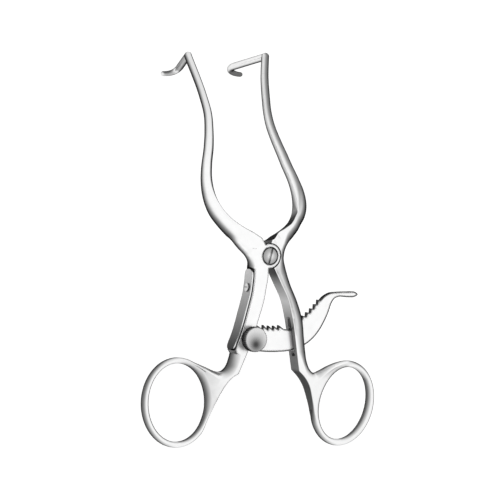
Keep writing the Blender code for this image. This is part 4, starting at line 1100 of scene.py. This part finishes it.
def shown_rays(tree):
    """One for rays of the camera, of reflections and of transmission, otherwise nought."""
    path = node(tree, "ShaderNodeLightPath", {})
    seen = math_node(tree, "MAXIMUM", path["Is Camera Ray"], path["Is Glossy Ray"])
    return math_node(tree, "MAXIMUM", seen, path["Is Transmission Ray"])


# The floor lies this much below the surface that the instrument rests on. The right ring dips
# 5.4 mm below it when the rings are drawn furthest together.
FLOOR_DROP = 4.0


def add_floor():
    """Pale floor far to all sides; it keeps the soft shadow and glows for the rays that show it."""
    mesh = bmesh.new()
    bmesh.ops.create_grid(mesh, x_segments=8, y_segments=8, size=3)
    floor = as_object("floor", mesh)
    floor.location.z = -FLOOR_DROP * MM
    material, tree, shader = new_material("paper")
    fill(tree, shader, {"Base Color": (0.75, 0.75, 0.75, 1), "Roughness": 0.9,
                        "Specular IOR Level": 0.0})
    strength = math_node(tree, "MULTIPLY", shown_rays(tree), 0.52)
    glow = node(tree, "ShaderNodeEmission", {"Strength": strength})[0]
    total = node(tree, "ShaderNodeAddShader", {0: shader.outputs[0], 1: glow})[0]
    fill(tree, tree.nodes["Material Output"], {"Surface": total})
    floor.data.materials.append(material)


def add_world():
    """Studio surroundings: white to the camera and in reflections, softer as a light."""
    world = bpy.data.worlds.new("studio")
    bpy.context.scene.world = world
    world.use_nodes = True
    tree = world.node_tree
    strength = spread(tree, shown_rays(tree), 0, 1, 0.8, 1.0)
    fill(tree, tree.nodes["Background"], {"Color": (1, 1, 1, 1), "Strength": strength})


def add_lamp():
    """A large soft lamp before the instrument's front, of a given surface brightness."""
    distance, size, radiance = 0.9, 2.2, 0.03
    way = (PLACE.to_3x3() @ Vector((0.15, 0.25, 0.95))).normalized()
    data = bpy.data.lights.new("key", "AREA")
    data.shape = "DISK"
    data.size = size
    data.energy = radiance * pi * pi * size**2 / 4
    lamp = link("key", data)
    lamp.location = Vector(PIVOT_PLACE) + way * distance
    lamp.rotation_mode = "QUATERNION"
    lamp.rotation_quaternion = way.to_track_quat("Z", "Y")


def main():
    along, across = (1.5, 0.12, 1.5), (0.12, 1.5, 1.5)
    hook, head = (1.5, 1.5, 0.12), (1.2, 1.2, 0.3)
    # The flat ground walls carry painted shade, dark near the boss and by the bar's slot and lighter between
    ground = metal("ground_steel_painted_shade", tone_by("y", GROUND_WALL_SHADE_TONES), 0.36, (0.4, 2.5, 2.5))
    # Each hook has painted light on one side and painted shade round it
    left_hook = metal("hook_steel_left_painted_light", hook_painted_light(LEFT_HOOK_LIT_WAY, LEFT_HOOK_TONES), 0.3, hook)
    right_hook = metal("hook_steel_right_painted_light", hook_painted_light(RIGHT_HOOK_LIT_WAY, RIGHT_HOOK_TONES), 0.3,
                       hook)
    # Each arm gets painted light and shade by the way its surface faces, mirrored between the two
    left_arm_shading = arm_painted_shading(LEFT_HANDLE_TONES, LEFT_JAW_TONES, -30, -42)
    right_arm_shading = arm_painted_shading(RIGHT_HANDLE_TONES, RIGHT_JAW_TONES, -41, -47)
    left = metal("satin_steel_left_painted_shade", left_arm_shading, 0.3, along, 1.2, 0.95)
    right = metal("satin_steel_right_painted_shade", right_arm_shading, 0.3, along, 0.25, 0.3)
    # The bar has painted shade on its sides and pale faces to the front and back
    bar = metal("bar_steel_painted_shade", tone_by("front", BAR_SHADE_TONES), 0.3, across, 1.8, 1.0)
    # Painted highlight in the middle of the pivot screw's head, and painted dark reflection on the knob's
    # face
    pivot_painted_highlight = round_tone((0, 0, HALF_THICKNESS), SCREW_HIGHLIGHT_TONES, STEEP_SHADE_TONES)
    pivot = metal("pivot_steel_painted_highlight", pivot_painted_highlight, 0.28, head)
    knob_painted_reflection = round_tone(KNOB_DARK_REFLECTION, KNOB_REFLECTION_TONES, KNOB_RIM_SHADE_TONES)
    knob = metal("knob_steel_painted_reflection", knob_painted_reflection, 0.26, head, 0.9, 0.8)
    # The spring darkens towards its free end and has a painted highlight on its front edge
    spring = metal("spring_steel_darker_to_end", spring_tone, 0.34, along)
    small = metal("small_screw_steel_painted_shade", tone_by("front", SMALL_SCREW_SHADE_TONES), 0.3, along)
    pieces = [
        (make_left_arm(), "left_arm", "left_arm_body", "satin_steel", (left, ground, left_hook), 0.12),
        (make_right_arm(), "right_arm", "right_arm_body", "satin_steel", (right, ground, right_hook), 0.12),
        (make_ratchet_bar(), "ratchet_bar", "ratchet_bar_body", "satin_steel", (bar,), 0.2),
        (make_pivot_screw(), "pivot_screw", "right_arm_body", "screw_steel", (pivot,), 0.06),
        (make_thumb_screw(), "thumb_screw", "thumb_screw_body", "screw_steel", (knob,), 0),
        (make_leaf_spring(), "leaf_spring", "leaf_spring_body", "spring_steel", (spring,), 0.1),
        (make_spring_screw(), "spring_screw", "left_arm_body", "screw_steel", (small,), 0.05),
    ]
    for piece, stands_for, body, finish, materials, bevel in pieces:
        finish_piece(piece, materials, bevel)
        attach(piece, body)
        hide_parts(stands_for)
    add_floor()
    add_world()
    add_lamp()
    add_camera()
    bpy.context.scene.view_settings.view_transform = "Standard"


main()
